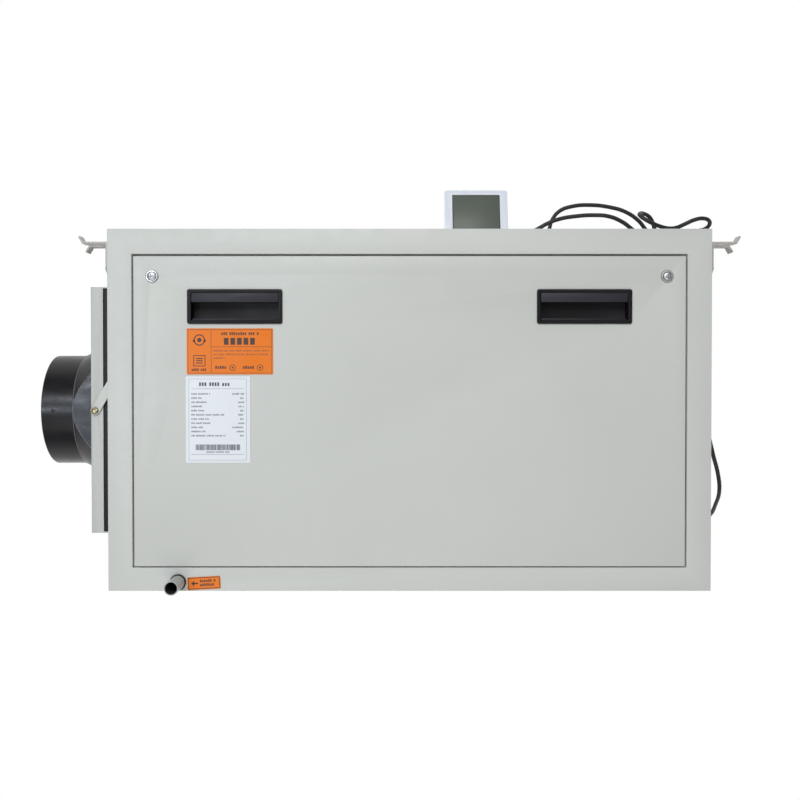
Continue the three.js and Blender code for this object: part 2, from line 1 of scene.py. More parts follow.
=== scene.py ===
"""A ceiling-hung ducted dehumidifier: cabinet, black inlet collar, filter box and wired controller."""
import json
import math
import random

import bpy
from mathutils import Matrix, Vector

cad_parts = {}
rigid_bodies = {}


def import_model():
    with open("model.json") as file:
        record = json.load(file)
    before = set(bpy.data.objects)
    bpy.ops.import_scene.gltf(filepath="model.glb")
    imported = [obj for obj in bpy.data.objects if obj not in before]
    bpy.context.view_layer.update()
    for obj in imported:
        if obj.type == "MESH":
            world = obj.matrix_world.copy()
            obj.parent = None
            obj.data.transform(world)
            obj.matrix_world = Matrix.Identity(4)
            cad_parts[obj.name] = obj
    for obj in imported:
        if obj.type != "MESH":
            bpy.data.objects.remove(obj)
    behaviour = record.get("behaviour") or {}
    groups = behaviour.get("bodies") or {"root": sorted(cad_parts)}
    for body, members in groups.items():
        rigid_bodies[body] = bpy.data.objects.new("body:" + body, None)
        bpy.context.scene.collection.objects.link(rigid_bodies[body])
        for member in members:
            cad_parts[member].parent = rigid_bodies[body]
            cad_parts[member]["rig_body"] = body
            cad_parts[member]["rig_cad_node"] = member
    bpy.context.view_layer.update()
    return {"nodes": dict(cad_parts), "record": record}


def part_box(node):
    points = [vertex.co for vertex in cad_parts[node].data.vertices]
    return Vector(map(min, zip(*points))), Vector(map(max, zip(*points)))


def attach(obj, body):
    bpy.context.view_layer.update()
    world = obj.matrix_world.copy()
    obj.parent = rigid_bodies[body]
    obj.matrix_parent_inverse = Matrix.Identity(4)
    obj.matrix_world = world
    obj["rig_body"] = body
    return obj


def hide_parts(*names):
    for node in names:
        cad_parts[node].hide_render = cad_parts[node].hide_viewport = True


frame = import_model()
NODES = frame["nodes"]
MM = 0.001
rng = random.Random(7)

CABINET_LOW, CABINET_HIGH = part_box("front_frame")
FRONT = CABINET_LOW.y
TOP = CABINET_HIGH.z
SIDE = CABINET_HIGH.x
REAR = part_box("rear_panel")[1].y


# ---- camera and light ----

def make_camera():
    camera = bpy.data.objects.new("camera", bpy.data.cameras.new("camera"))
    bpy.context.scene.collection.objects.link(camera)
    camera.data.sensor_width = 36
    camera.data.lens = 43.65
    camera.location = (-0.0111, FRONT - 1.124, 0.2387)
    camera.rotation_euler = (math.radians(90 - 0.856), 0, 0)
    camera.data.clip_end = 50
    bpy.context.scene.camera = camera


def softbox(name, place, target, size, power, tint=(1, 1, 1)):
    light = bpy.data.objects.new(name, bpy.data.lights.new(name, "AREA"))
    bpy.context.scene.collection.objects.link(light)
    light.location = place
    light.rotation_euler = (Vector(target) - Vector(place)).to_track_quat("-Z", "Y").to_euler()
    light.data.shape = "RECTANGLE"
    light.data.size, light.data.size_y = size
    light.data.energy = power
    light.data.color = tint


def make_studio():
    """A white studio, darker on the viewer's side so that black mouldings stay black."""
    world = bpy.data.worlds.new("studio")
    bpy.context.scene.world = world
    world.use_nodes = True
    tree = world.node_tree
    background = tree.nodes["Background"]
    background.inputs["Strength"].default_value = 1.0
    place = tree.nodes.new("ShaderNodeTexCoord")
    parts = tree.nodes.new("ShaderNodeSeparateXYZ")
    ramp = tree.nodes.new("ShaderNodeMapRange")
    for name, value in (("From Min", -0.35), ("From Max", 0.05), ("To Min", 0.14), ("To Max", 1.0)):
        ramp.inputs[name].default_value = value
    tree.links.new(place.outputs["Generated"], parts.inputs[0])
    tree.links.new(parts.outputs["Y"], ramp.inputs["Value"])
    tree.links.new(ramp.outputs["Result"], background.inputs["Color"])
    bpy.context.scene.view_settings.view_transform = "Standard"
    middle = (0, 0, 0.2)
    softbox("sheen", (-1.2, -2.5, 1.2), middle, (0.9, 0.5), 12, (0.86, 0.92, 1))
    softbox("glint", (-1.15, -2.5, 0.25), middle, (0.5, 0.3), 10, (0.78, 0.88, 1))
    softbox("key", (-0.2, -2.7, 1.8), middle, (1.4, 1.1), 29, (1, 0.98, 0.94))
    softbox("fill", (1.2, -2.5, 0.9), middle, (1.0, 1.0), 3, (0.95, 0.97, 1))
    softbox("low", (-0.1, -2.5, -1.2), middle, (2.6, 1.6), 24, (1, 0.985, 0.955))


make_camera()
make_studio()


# ---- shader building ----

class Wire:
    """A socket whose sums and products add Math nodes."""

    def __init__(self, surface, socket):
        self.surface = surface
        self.socket = socket

    def math(self, operation, *values):
        return self.surface.node("ShaderNodeMath", {"operation": operation}, *values)

    def __add__(self, other):
        return self.math("ADD", self, other)

    def __sub__(self, other):
        return self.math("SUBTRACT", self, other)

    def __rsub__(self, other):
        return self.math("SUBTRACT", other, self)

    def __mul__(self, other):
        return self.math("MULTIPLY", self, other)

    def above(self, limit):
        return self.math("GREATER_THAN", self, limit)

    def below(self, limit):
        return self.math("LESS_THAN", self, limit)

    __radd__ = __add__
    __rmul__ = __mul__


class Surface:
    """A material built node by node."""

    def __init__(self, name):
        self.material = bpy.data.materials.new(name)
        self.material.use_nodes = True
        self.tree = self.material.node_tree
        self.shader = self.tree.nodes["Principled BSDF"]
        self.place = self.node("ShaderNodeTexCoord", {}, out="Object")

    def node(self, kind, settings, *values, out=0, **named):
        made = self.tree.nodes.new(kind)
        for key, value in settings.items():
            setattr(made, key, value)
        for key, value in list(enumerate(values)) + list(named.items()):
            if value is None:
                continue
            socket = made.inputs[key]
            self.feed(socket, value)
        return Wire(self, made.outputs[out])

    def feed(self, socket, value):
        if isinstance(value, Wire):
            self.tree.links.new(value.socket, socket)
        elif isinstance(value, tuple) and len(value) == 3 and socket.type == "RGBA":
            socket.default_value = (*value, 1)
        else:
            socket.default_value = value

    def stretched(self, scale):
        return self.node("ShaderNodeMapping", {}, self.place, Scale=scale)

    def noise(self, scale, detail=2.0, vector=None):
        return self.node("ShaderNodeTexNoise", {}, Vector=vector or self.place, Scale=scale, Detail=detail)

    def cells(self, scale, out="Distance"):
        return self.node("ShaderNodeTexVoronoi", {}, Vector=self.place, Scale=scale, out=out)

    def band(self, wire, low, high, start=0.0, end=1.0):
        return self.node("ShaderNodeMapRange", {}, wire, low, high, start, end)

    def mix(self, factor, first, second):
        made = self.tree.nodes.new("ShaderNodeMix")
        made.data_type = "RGBA"
        self.feed(made.inputs["Factor"], factor)
        colours = [s for s in made.inputs if s.type == "RGBA"]
        self.feed(colours[0], first)
        self.feed(colours[1], second)
        return Wire(self, next(s for s in made.outputs if s.type == "RGBA"))

    def bump(self, height, distance, strength=1.0, base=None):
        return self.node("ShaderNodeBump", {}, Height=height, Distance=distance, Strength=strength,
                         Normal=base)

    def finish(self, **sockets):
        for name, value in sockets.items():
            self.feed(self.shader.inputs[name.replace("_", " ")], value)
        return self.material


def paint(name, tone, rough=0.42):
    """Satin powder coat: orange peel, faint mottling, a few specks."""
    s = Surface(name)
    mottle = s.band(s.noise(5, 3), 0.3, 0.7)
    grain = s.band(s.noise(900, 2), 0.3, 0.7)
    specks = s.cells(95).below(0.035) * s.noise(14, 1).above(0.62)
    light = tuple(c * 1.015 for c in tone)
    dark = tuple(c * 0.975 for c in tone)
    base = s.mix(mottle, dark, light)
    base = s.mix(grain * 0.05, base, tuple(c * 0.8 for c in tone))
    base = s.mix(specks * 0.25, base, tuple(c * 0.6 for c in tone))
    peel = s.bump(s.noise(420, 2), 0.00006, 0.55)
    peel = s.bump(s.noise(2600, 1), 0.00001, 0.4, peel)
    worn = s.band(s.noise(60, 4), 0.35, 0.65, rough - 0.05, rough + 0.06)
    return s.finish(Base_Color=base, Roughness=worn, Normal=peel, Specular_IOR_Level=0.45)


def galvanised(name):
    """Zinc-coated sheet with its spangle."""
    s = Surface(name)
    spangle = s.cells(150, out="Color")
    shade = s.node("ShaderNodeSeparateColor", {}, spangle)
    smear = s.noise(35, 4)
    base = s.mix(shade * 0.6 + smear * 0.3, (0.50, 0.52, 0.54), (0.70, 0.72, 0.74))
    rough = s.band(shade + smear * 0.4, 0.2, 1.2, 0.28, 0.48)
    return s.finish(Base_Color=base, Metallic=0.9, Roughness=rough, Normal=s.bump(smear, 0.0001, 0.3))


def moulded(name, tone, rough, grain=0.00003, scale=1500, gloss=0.5, dust=0.0):
    """Moulded plastic: fine grain, soft handling marks, optional dust."""
    s = Surface(name)
    marks = s.noise(28, 5, s.stretched((1, 1, 2.2)))
    scuffs = s.band(s.noise(9, 6), 0.55, 0.75)
    grey = tuple(min(1, c * 1.6 + 0.02) for c in tone)
    base = s.mix(marks * 0.12 + scuffs * dust, tone, grey)
    worn = s.band(marks, 0.3, 0.7, rough - 0.06, rough + 0.08)
    normal = s.bump(s.noise(scale, 2), grain, 0.6)
    return s.finish(Base_Color=base, Roughness=worn, Normal=normal, Specular_IOR_Level=gloss)


def plated(name, tone, rough, smear=0.3):
    """Plated metal with faint smears and fine drawn lines."""
    s = Surface(name)
    cloud = s.noise(180, 4)
    lines = s.noise(700, 2, s.stretched((1, 0.15, 1)))
    base = s.mix(cloud * smear, tone, tuple(c * 0.72 for c in tone))
    worn = s.band(cloud, 0.25, 0.75, rough * 0.7, rough * 1.6)
    return s.finish(Base_Color=base, Metallic=1.0, Roughness=worn, Normal=s.bump(lines, 0.00001, 0.3))


def copper(name):
    """Drawn copper tube, tarnished in patches."""
    s = Surface(name)
    patch = s.band(s.noise(40, 5), 0.42, 0.62)
    base = s.mix(patch, (0.83, 0.45, 0.29), (0.42, 0.21, 0.13))
    rough = s.band(patch, 0, 1, 0.22, 0.5)
    return s.finish(Base_Color=base, Metallic=1.0, Roughness=rough,
                    Normal=s.bump(s.noise(500, 2), 0.00002, 0.4))


def foam(name, tone):
    """Closed-cell foam: small pits all over."""
    s = Surface(name)
    pits = s.cells(650)
    base = s.mix(s.band(pits, 0.1, 0.6), tuple(c * 0.5 for c in tone), tone)
    return s.finish(Base_Color=base, Roughness=0.95, Normal=s.bump(pits, 0.0004, 0.8))


def felt(name, tone):
    """Non-woven filter media: crossed fibres and trapped dust."""
    s = Surface(name)
    along = s.noise(900, 3, s.stretched((1, 0.12, 1)))
    across = s.noise(900, 3, s.stretched((1, 1, 0.12)))
    dust = s.band(s.noise(25, 4), 0.4, 0.7)
    base = s.mix(along * across * 2.0, tuple(c * 0.45 for c in tone), tone)
    base = s.mix(dust * 0.35, base, (0.33, 0.31, 0.28))
    return s.finish(Base_Color=base, Roughness=0.95, Normal=s.bump(along + across, 0.0004, 0.9))


def film(name, tone, aged, gloss=0.5):
    """Printed label film: a faint sheen, tiny bubbles and rub marks."""
    s = Surface(name)
    rub = s.band(s.noise(45, 4), 0.45, 0.75)
    bubbles = s.cells(160).below(0.08) * s.noise(30, 1).above(0.6)
    base = s.mix(rub * 0.35, tone, aged)
    rough = s.band(rub, 0, 1, 0.3, 0.46)
    return s.finish(Base_Color=base, Roughness=rough, Specular_IOR_Level=gloss,
                    Normal=s.bump(bubbles + s.noise(220, 2) * 0.2, 0.00005, 0.5))


def ink(name, tone):
    s = Surface(name)
    patchy = s.noise(1200, 3)
    base = s.mix(patchy * 0.3, tone, tuple(min(1, c * 1.7 + 0.04) for c in tone))
    return s.finish(Base_Color=base, Roughness=s.band(patchy, 0.3, 0.7, 0.42, 0.55))


def sheath(name):
    """Black cable sheath with a faint matt ripple."""
    s = Surface(name)
    ripple = s.noise(340, 3)
    chalk = s.band(s.noise(45, 4), 0.5, 0.75)
    base = s.mix(chalk * 0.25, (0.012, 0.012, 0.013), (0.06, 0.06, 0.062))
    return s.finish(Base_Color=base, Roughness=s.band(ripple, 0.3, 0.7, 0.42, 0.56),
                    Normal=s.bump(ripple, 0.00005, 0.5))


def crystal_pane(name):
    """Unlit liquid-crystal pane behind clear acrylic: grey-green, with a faint grain."""
    s = Surface(name)
    cloud = s.noise(60, 2)
    base = s.mix(cloud * 0.5, (0.098, 0.116, 0.096), (0.122, 0.142, 0.117))
    grid = s.noise(4000, 1)
    return s.finish(Base_Color=base, Roughness=0.5, Coat_Weight=0.2, Coat_Roughness=0.25,
                    Normal=s.bump(grid, 0.000005, 0.2))


def circuit(name):
    """Solder mask with tracks under it."""
    s = Surface(name)
    tracks = s.noise(160, 1, s.stretched((0.3, 1, 3))).above(0.55)
    base = s.mix(tracks, (0.012, 0.085, 0.03), (0.02, 0.15, 0.06))
    return s.finish(Base_Color=base, Roughness=0.35, Normal=s.bump(tracks, 0.00003, 0.4))


def enamel(name):
    """Black stoving enamel on a pressed steel shell."""
    s = Surface(name)
    drips = s.noise(55, 3)
    base = s.mix(drips * 0.4, (0.012, 0.012, 0.014), (0.04, 0.04, 0.043))
    return s.finish(Base_Color=base, Roughness=s.band(drips, 0.3, 0.7, 0.22, 0.4), Coat_Weight=0.3,
                    Normal=s.bump(s.noise(300, 2), 0.00005, 0.5))


def fin_stock(name):
    """Aluminium fin stock, dulled and faintly blue from its coating."""
    s = Surface(name)
    dull = s.noise(70, 4)
    base = s.mix(dull, (0.62, 0.66, 0.7), (0.82, 0.84, 0.86))
    return s.finish(Base_Color=base, Metallic=0.85, Roughness=s.band(dull, 0.3, 0.7, 0.32, 0.5),
                    Normal=s.bump(s.noise(900, 1), 0.00002, 0.3))


PAINT_TONE = (0.60, 0.615, 0.585)
PAINT = paint("powder_coat", PAINT_TONE)
BRACKET_PAINT = paint("bracket_powder_coat", (0.45, 0.44, 0.41), 0.5)
PANEL_PAINT = paint("panel_powder_coat", tuple(c * 0.985 for c in PAINT_TONE))
# The cabinet's powder coat darkened for the filter box: painted shade to offset the stronger light that falls
# on it.
FILTER_PAINT_SHADED = paint("filter_coat_painted_shade", tuple(c * 0.85 for c in PAINT_TONE))
ZINC_SHEET = galvanised("galvanised_sheet")
COLLAR_BLACK = moulded("collar_black_abs", (0.009, 0.008, 0.010), 0.27, 0.000008, 900, 0.32, 0.05)
# Lighter grey of the collar's beads: a painted highlight along the shoulder circle and the facet edges.
COLLAR_HIGHLIGHT_GREY = moulded("collar_painted_highlight", (0.13, 0.13, 0.145), 0.35, 0.00002, 900)
HANDLE_BLACK = moulded("handle_black", (0.004, 0.0025, 0.004), 0.45, 0.00004, 1700, 0.22)
HANDLE_LIP = moulded("handle_lip", (0.022, 0.022, 0.030), 0.45, 0.00004, 1700, 0.3)
TEXTURED_BLACK = moulded("textured_black", (0.012, 0.012, 0.013), 0.55, 0.00006, 1200, 0.35)
SEAL_RUBBER = moulded("seal_rubber", (0.013, 0.013, 0.013), 0.75, 0.0001, 700)
PIPE_GREY = moulded("pipe_grey", (0.42, 0.43, 0.425), 0.4, 0.00003, 500, 0.5, 0.1)
# Near-black for a thin film inside the drain pipe's bore: painted shade.
PIPE_BORE_SHADE = moulded("pipe_bore_painted_shade", (0.05, 0.045, 0.045), 0.6, 0.0001, 500)
BEZEL_WHITE = moulded("bezel_white", (0.86, 0.90, 1.0), 0.3, 0.00002, 1100)
# Brighter white for a band round the display: a painted highlight on the bezel's inner edge.
TRIM_HIGHLIGHT_WHITE = moulded("trim_painted_highlight", (0.92, 0.93, 0.96), 0.3, 0.00002, 1100)
KEY_WHITE = moulded("key_white", (0.70, 0.73, 0.78), 0.4, 0.00003, 1100)
GLASS_EDGE = moulded("pane_border", (0.06, 0.07, 0.06), 0.35)
CHROME = plated("chrome", (0.55, 0.56, 0.57), 0.33)
YELLOW_ZINC = plated("yellow_zinc", (0.33, 0.28, 0.17), 0.3, 0.7)
BRIGHT_ZINC = plated("bright_zinc", (0.62, 0.64, 0.67), 0.3, 0.5)
COPPER = copper("copper_tube")
FOAM_BLACK = foam("foam_black", (0.03, 0.03, 0.032))
FILTER_FELT = felt("filter_felt", (0.12, 0.125, 0.13))
ORANGE_FILM = film("orange_film", (0.84, 0.20, 0.012), (0.84, 0.225, 0.03), 0.25)
WHITE_FILM = film("white_film", (0.78, 0.815, 0.855), (0.72, 0.75, 0.79))
BROWN_INK = ink("brown_ink", (0.05, 0.018, 0.01))
GREY_INK = ink("grey_ink", (0.05, 0.055, 0.07))
PALE_INK = ink("pale_ink", (0.13, 0.14, 0.16))
RUST_INK = ink("rust_ink", (0.30, 0.09, 0.02))
CABLE_SHEATH = sheath("cable_sheath")
CRYSTAL = crystal_pane("crystal_pane")
CIRCUIT = circuit("circuit_board")
ENAMEL = enamel("black_enamel")
FIN_STOCK = fin_stock("fin_stock")


# ---- modelling helpers ----

def mm(points):
    """Points given in millimetres, as tuples in metres."""
    return [tuple(v * MM for v in point) for point in points]


def only(obj):
    bpy.ops.object.select_all(action="DESELECT")
    obj.select_set(True)
    bpy.context.view_layer.objects.active = obj
    return obj


def edit(obj, kind="FACE", test=None):
    """Opens a piece in edit mode with the faces, edges or vertices that pass the test selected."""
    only(obj)
    mesh = obj.data
    parts = {"VERT": mesh.vertices, "EDGE": mesh.edges, "FACE": mesh.polygons}
    for items in parts.values():
        items.foreach_set("select", [test is None] * len(items))
    if test:
        for item in parts[kind]:
            item.select = test(item)
    bpy.context.tool_settings.mesh_select_mode = tuple(kind == k for k in parts)
    bpy.ops.object.mode_set(mode="EDIT")


def close(obj):
    bpy.ops.object.mode_set(mode="OBJECT")
    return obj


def apply_modifier(obj, kind, **settings):
    only(obj)
    modifier = obj.modifiers.new(kind.lower(), kind)
    for key, value in settings.items():
        setattr(modifier, key, value)
    bpy.ops.object.modifier_apply(modifier=modifier.name)
    return obj


def rounded(obj, width, segments=2, angle=30):
    return apply_modifier(obj, "BEVEL", width=width, segments=segments, limit_method="ANGLE",
                          angle_limit=math.radians(angle), use_clamp_overlap=True)


def smooth(obj, angle=32):
    only(obj)
    bpy.ops.object.shade_smooth_by_angle(angle=math.radians(angle))
    return obj


def carved(obj, *tools):
    for tool in tools:
        apply_modifier(obj, "BOOLEAN", operation="DIFFERENCE", object=tool, solver="EXACT")
        bpy.data.objects.remove(tool)
    return obj


def slab(name, low, high, edge=0.0, segments=2):
    low, high = Vector(low), Vector(high)
    bpy.ops.object.select_all(action="DESELECT")
    bpy.ops.mesh.primitive_cube_add(size=1, location=(low + high) / 2, scale=high - low)
    obj = bpy.context.active_object
    obj.name = obj.data.name = name
    bpy.ops.object.transform_apply(location=True, rotation=True, scale=True)
    return smooth(rounded(obj, edge, segments)) if edge else obj


AXES = {
    "x": Matrix.Rotation(math.pi / 2, 4, "Y"),
    "-x": Matrix.Rotation(-math.pi / 2, 4, "Y"),
    "y": Matrix.Rotation(-math.pi / 2, 4, "X"),
    "-y": Matrix.Rotation(math.pi / 2, 4, "X"),
    "z": Matrix.Identity(4),
    "-z": Matrix.Rotation(math.pi, 4, "X"),
}


def from_points(name, points, edges=(), faces=()):
    mesh = bpy.data.meshes.new(name)
    mesh.from_pydata(points, edges, faces)
    obj = bpy.data.objects.new(name, mesh)
    bpy.context.scene.collection.objects.link(obj)
    return obj


def turned(name, profile, axis="z", centre=(0, 0, 0), steps=64, angle=32):
    """Spins a profile of (radius, height) pairs about an axis through a point."""
    points = [(r, 0, h) for r, h in profile]
    obj = from_points(name, points, [(i, i + 1) for i in range(len(points) - 1)])
    edit(obj, "VERT")
    bpy.ops.mesh.spin(steps=steps, angle=2 * math.pi, center=(0, 0, 0), axis=(0, 0, 1))
    bpy.ops.mesh.select_all(action="SELECT")
    bpy.ops.mesh.remove_doubles(threshold=1e-6)
    bpy.ops.mesh.normals_make_consistent(inside=False)
    close(obj)
    obj.data.transform(Matrix.Translation(centre) @ AXES[axis])
    return smooth(obj, angle)


def joined(name, objects):
    only(objects[0])
    for obj in objects[1:]:
        obj.select_set(True)
    if len(objects) > 1:
        bpy.ops.object.join()
    result = bpy.context.active_object
    result.name = result.data.name = name
    return result


def copied(obj, matrix, name="copy"):
    twin = obj.copy()
    twin.data = obj.data.copy()
    twin.name = name
    twin.data.transform(matrix)
    bpy.context.scene.collection.objects.link(twin)
    return twin


def line_piece(name, points, radius, closed=False):
    """A round tube or wire on a smooth curve through the points."""
    curve = bpy.data.curves.new(name, "CURVE")
    curve.dimensions = "3D"
    spline = curve.splines.new("BEZIER")
    spline.bezier_points.add(len(points) - 1)
    for knot, point in zip(spline.bezier_points, points):
        knot.co = point
        knot.handle_left_type = knot.handle_right_type = "AUTO"
    spline.use_cyclic_u = closed
    curve.resolution_u = 6
    curve.bevel_depth = radius
    curve.bevel_resolution = 3
    curve.use_fill_caps = True
    obj = bpy.data.objects.new(name, curve)
    bpy.context.scene.collection.objects.link(obj)
    return obj


def middle_of(node):
    """The middle of a CAD node's box."""
    return tuple((a + b) / 2 for a, b in zip(*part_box(node)))


SLOT_OF = {part["node"]: part["material_slot"] for part in frame["record"]["subparts"]}


def fit(obj, material, body, slot, *stands_for):
    """Gives a finished piece its material and its body, and hides the CAD nodes that it stands for."""
    obj.data.materials.clear()
    obj.data.materials.append(material)
    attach(obj, body)
    if stands_for:
        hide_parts(*stands_for)
    return obj


def stand_in(obj, material, node):
    """Fits a piece in place of a CAD node, on that node's body."""
    return fit(obj, material, NODES[node]["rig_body"], SLOT_OF[node], node)


def beside(obj, material, node, slot=None):
    """Fits an added piece on a CAD node's body; the slot argument is not used."""
    return fit(obj, material, NODES[node]["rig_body"], slot or SLOT_OF[node])


def softened(node, width, segments=2):
    """A copy of a CAD piece with its coplanar triangles merged and its edges rounded."""
    obj = NODES[node].copy()
    obj.data = NODES[node].data.copy()
    obj.name = obj.data.name = node + "_formed"
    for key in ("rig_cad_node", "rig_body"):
        del obj[key]
    obj.parent = None
    bpy.context.scene.collection.objects.link(obj)
    edit(obj, "VERT")
    bpy.ops.mesh.remove_doubles(threshold=1e-6)
    bpy.ops.mesh.dissolve_limited(angle_limit=math.radians(2))
    close(obj)
    return smooth(rounded(obj, width, segments))


def formed(node, width, material, segments=2):
    return stand_in(softened(node, width, segments), material, node)


# ---- control cable: one 5 mm lead from the gland to the controller ----

CABLE_RADIUS = 2.5 * MM
CABLE_RUN = mm([
    (368.8, -60, 60), (378, -60.5, 60.5), (386, -66, 63), (390, -82, 72), (389, -106, 88),
    (386.5, -128, 108), (382, -137, 128), (374, -141, 155), (366, -142, 190), (362, -141, 240),
    (361, -138, 300), (361, -128, 350), (361, -117, 385), (360, -109, 406), (356, -104.5, 419.5),
    (348, -102.5, 426.2), (339.5, -105.5, 425.2), (334.5, -114.5, 423), (338.5, -123.5, 422.9),
    (348, -127.5, 425.4), (359, -128.5, 430.4), (366.6, -130.8, 432.6), (369.8, -137, 436.8),
    (366.6, -143.4, 441), (358.5, -146, 442.8), (348.5, -146, 441), (337.5, -145, 436.2),
    (326.5, -145.5, 431.6), (316.5, -148.5, 430.4), (306, -152, 431.8), (296, -154.8, 435),
    (287, -155.5, 439.4), (281.3, -151.8, 444.6), (282, -144.3, 448.7), (288, -137.3, 450.3),
    (296.5, -132, 447.5), (302, -128.5, 441), (304.8, -127, 433.4), (309.5, -125.5, 426.4),
    (317.5, -121.5, 422.9), (322, -113, 422.9), (318.5, -104.2, 423.4), (309.5, -101.5, 428),
    (300.5, -103, 435.5), (290.4, -105, 446.8), (274, -105, 457.9), (252.4, -105, 464.2),
    (229.6, -105, 466.6), (206.8, -105, 465), (190, -105, 458.7), (180.6, -105.5, 447),
    (176.5, -107.5, 435), (169, -111, 426), (157, -115.5, 422.9), (145.5, -122.5, 422.9),
    (139.5, -135, 422.9), (144, -148, 423.6), (155, -155.5, 428), (168.3, -158, 435.1),
    (183, -158, 440.3), (202.3, -158, 443.4), (222.9, -158, 444.6), (241.1, -158, 443.2),
    (256.8, -157, 437.3), (269, -154, 429.5), (277.5, -147, 424.3), (280.5, -135, 422.9),
    (275, -121, 422.9), (263, -105, 422.9), (249, -88, 422.9), (237, -66, 422.9), (230, -42, 422.9),
    (228, -14, 422.9), (231, 18, 422.9), (236.5, 46, 422.9), (241.3, 70.9, 422.9),
])
CABLE_TAIL = mm([
    (154.5, 90, 438), (153, 76, 435), (145, 62, 430), (131, 53, 427), (116, 48, 430), (103, 43, 439),
    (95, 37, 450), (92.9, 28.6, 456.7),
])
COIL_CENTRE = (0.2, 0.09)
COIL_OUTER, COIL_INNER = 40 * MM, 20 * MM
COIL_LAYERS = 4
STEPS_PER_TURN = 16


def coil_points():
    """Layers of a flat spiral, wound in and out by turns, each a cable's thickness above the last."""
    pitch = 2 * CABLE_RADIUS
    turns = (COIL_OUTER - COIL_INNER) / pitch
    angle = math.radians(5)
    height = TOP + CABLE_RADIUS + 0.4 * MM
    step = 2 * math.pi / STEPS_PER_TURN
    steps = round(turns * STEPS_PER_TURN)
    points = []
    for layer in range(COIL_LAYERS):
        ends = (COIL_OUTER, COIL_INNER) if layer % 2 == 0 else (COIL_INNER, COIL_OUTER)
        for i in range(steps + 1):
            radius = ends[0] + (ends[1] - ends[0]) * i / steps
            points.append((radius, angle, height))
            angle += step
        if layer < COIL_LAYERS - 1:
            for i in range(1, 4):
                points.append((ends[1], angle, height + pitch * i / 4))
                angle += step
            height += pitch
    while (angle - math.pi) % (2 * math.pi) > step:
        points.append((COIL_OUTER, angle, height))
        angle += step
    x, y = COIL_CENTRE
    return [(x + r * math.cos(a), y + r * math.sin(a), z) for r, a, z in points]


def control_cable():
    points = CABLE_RUN + coil_points() + CABLE_TAIL[1:]
    cable = line_piece("control_cable", points, CABLE_RADIUS)
    fit(cable, CABLE_SHEATH, "cabinet", "cable_sheath", "control_cable_run", "control_cable_coil",
        "control_cable_tail")


def coil_ties():
    """Two plastic ties around the coil's windings."""
    cx, cy = COIL_CENTRE
    tie_radius = 12.5 * MM
    middle = (COIL_OUTER + COIL_INNER) / 2
    floor = TOP + 0.2 * MM
    for name, turn in (("coil_tie_front", -1.2), ("coil_tie_rear", 1.9)):
        across = Vector((math.cos(turn), math.sin(turn), 0))
        centre = Vector((cx, cy, floor + 10.5 * MM)) + across * middle
        loop = []
        for i in range(16):
            a = 2 * math.pi * i / 16
            out = max(-1, min(1, 1.25 * math.cos(a))) * (tie_radius + 1 * MM)
            up = max(-1, min(1, 1.25 * math.sin(a))) * 11.2 * MM
            loop.append(centre + across * out + Vector((0, 0, max(up, -9.6 * MM))))
        tie = line_piece(name, loop, 0.9 * MM, closed=True)
        fit(tie, TEXTURED_BLACK, "cabinet", "cable_sheath")


control_cable()
coil_ties()


# ---- fasteners ----

def cross_recess(head, radius, depth):
    """Cuts a tapered cross into a head that faces +Z with its face at the origin."""
    arm = radius * 0.62
    half = radius * 0.14
    for length, width in ((arm, half), (half, arm)):
        tool = slab("recess", (-length, -width, -depth), (length, width, radius))
        edit(tool, "FACE", lambda f: f.normal.z < -0.9)
        bpy.ops.transform.resize(value=(0.55, 0.55, 1))
        close(tool)
        carved(head, tool)
    return head


def pan_head(radius, height):
    profile = [(0, height), (radius * 0.45, height * 0.97), (radius * 0.8, height * 0.75),
               (radius * 0.97, height * 0.3), (radius, 0), (0, 0)]
    head = turned("pan_head", profile[::-1], steps=28)
    head.data.transform(Matrix.Translation((0, 0, -height)))
    cross_recess(head, radius, height * 0.7)
    head.data.transform(Matrix.Translation((0, 0, height)))
    return smooth(head, 30)


def shank(radius, depth):
    return turned("shank", mm([(0, 0.2), (radius, 0.2), (radius, -depth), (0, -depth)]), steps=20)


def screws(name, places, axis, slot="paint"):
    """One piece holding a sheet-metal screw's head at each place, facing along the axis."""
    heads = []
    for i, place in enumerate(places):
        turn = Matrix.Rotation(rng.uniform(0, math.pi), 4, "Z")
        heads.append(copied(SMALL_SCREW, Matrix.Translation(place) @ AXES[axis] @ turn, f"{name}_{i}"))
    return fit(joined(name, heads), BRIGHT_ZINC, "cabinet", slot)


SMALL_SCREW = pan_head(4 * MM, 2.2 * MM)


# ---- cabinet ----

def cabinet():
    formed("front_frame", 0.7 * MM, PAINT, 3)
    formed("access_panel", 1.0 * MM, PANEL_PAINT, 3)
    for node in ("top_panel", "rear_panel", "left_panel", "right_panel"):
        formed(node, 0.5 * MM, PAINT)
    formed("base_tray", 0.5 * MM, ZINC_SHEET)
    formed("panel_gasket", 0.5 * MM, SEAL_RUBBER)
    formed("panel_insulation", 1.5 * MM, FOAM_BLACK)
    inset = 9 * MM
    rows = [FRONT + 30 * MM, -0.065, 0.065, REAR - 30 * MM]
    columns = [-SIDE + 40 * MM, -0.16, 0, 0.16, SIDE - 40 * MM]
    levels = [60 * MM, TOP - 130 * MM]
    out = 0.1 * MM
    top = [(s * (SIDE - inset), y, TOP + out) for s in (-1, 1) for y in rows]
    top += [(x, REAR - inset, TOP + out) for x in columns[1:-1]]
    screws("top_screws", top, "z")
    back = [(x, REAR + out, z) for x in columns for z in (inset, TOP - inset)]
    back += [(s * (SIDE - inset), REAR + out, z) for s in (-1, 1) for z in levels]
    screws("rear_screws", back, "y")
    right = [(SIDE + out, y, z) for y in rows[1:] for z in (inset, TOP - inset)]
    right += [(SIDE + out, FRONT + 12 * MM, z) for z in (60 * MM, 0.2, 0.3)]
    screws("right_screws", right, "x")
    left = [(-SIDE - out, y, z) for y in rows[1:-1] for z in (inset, TOP - inset)]
    screws("left_screws", left, "-x")


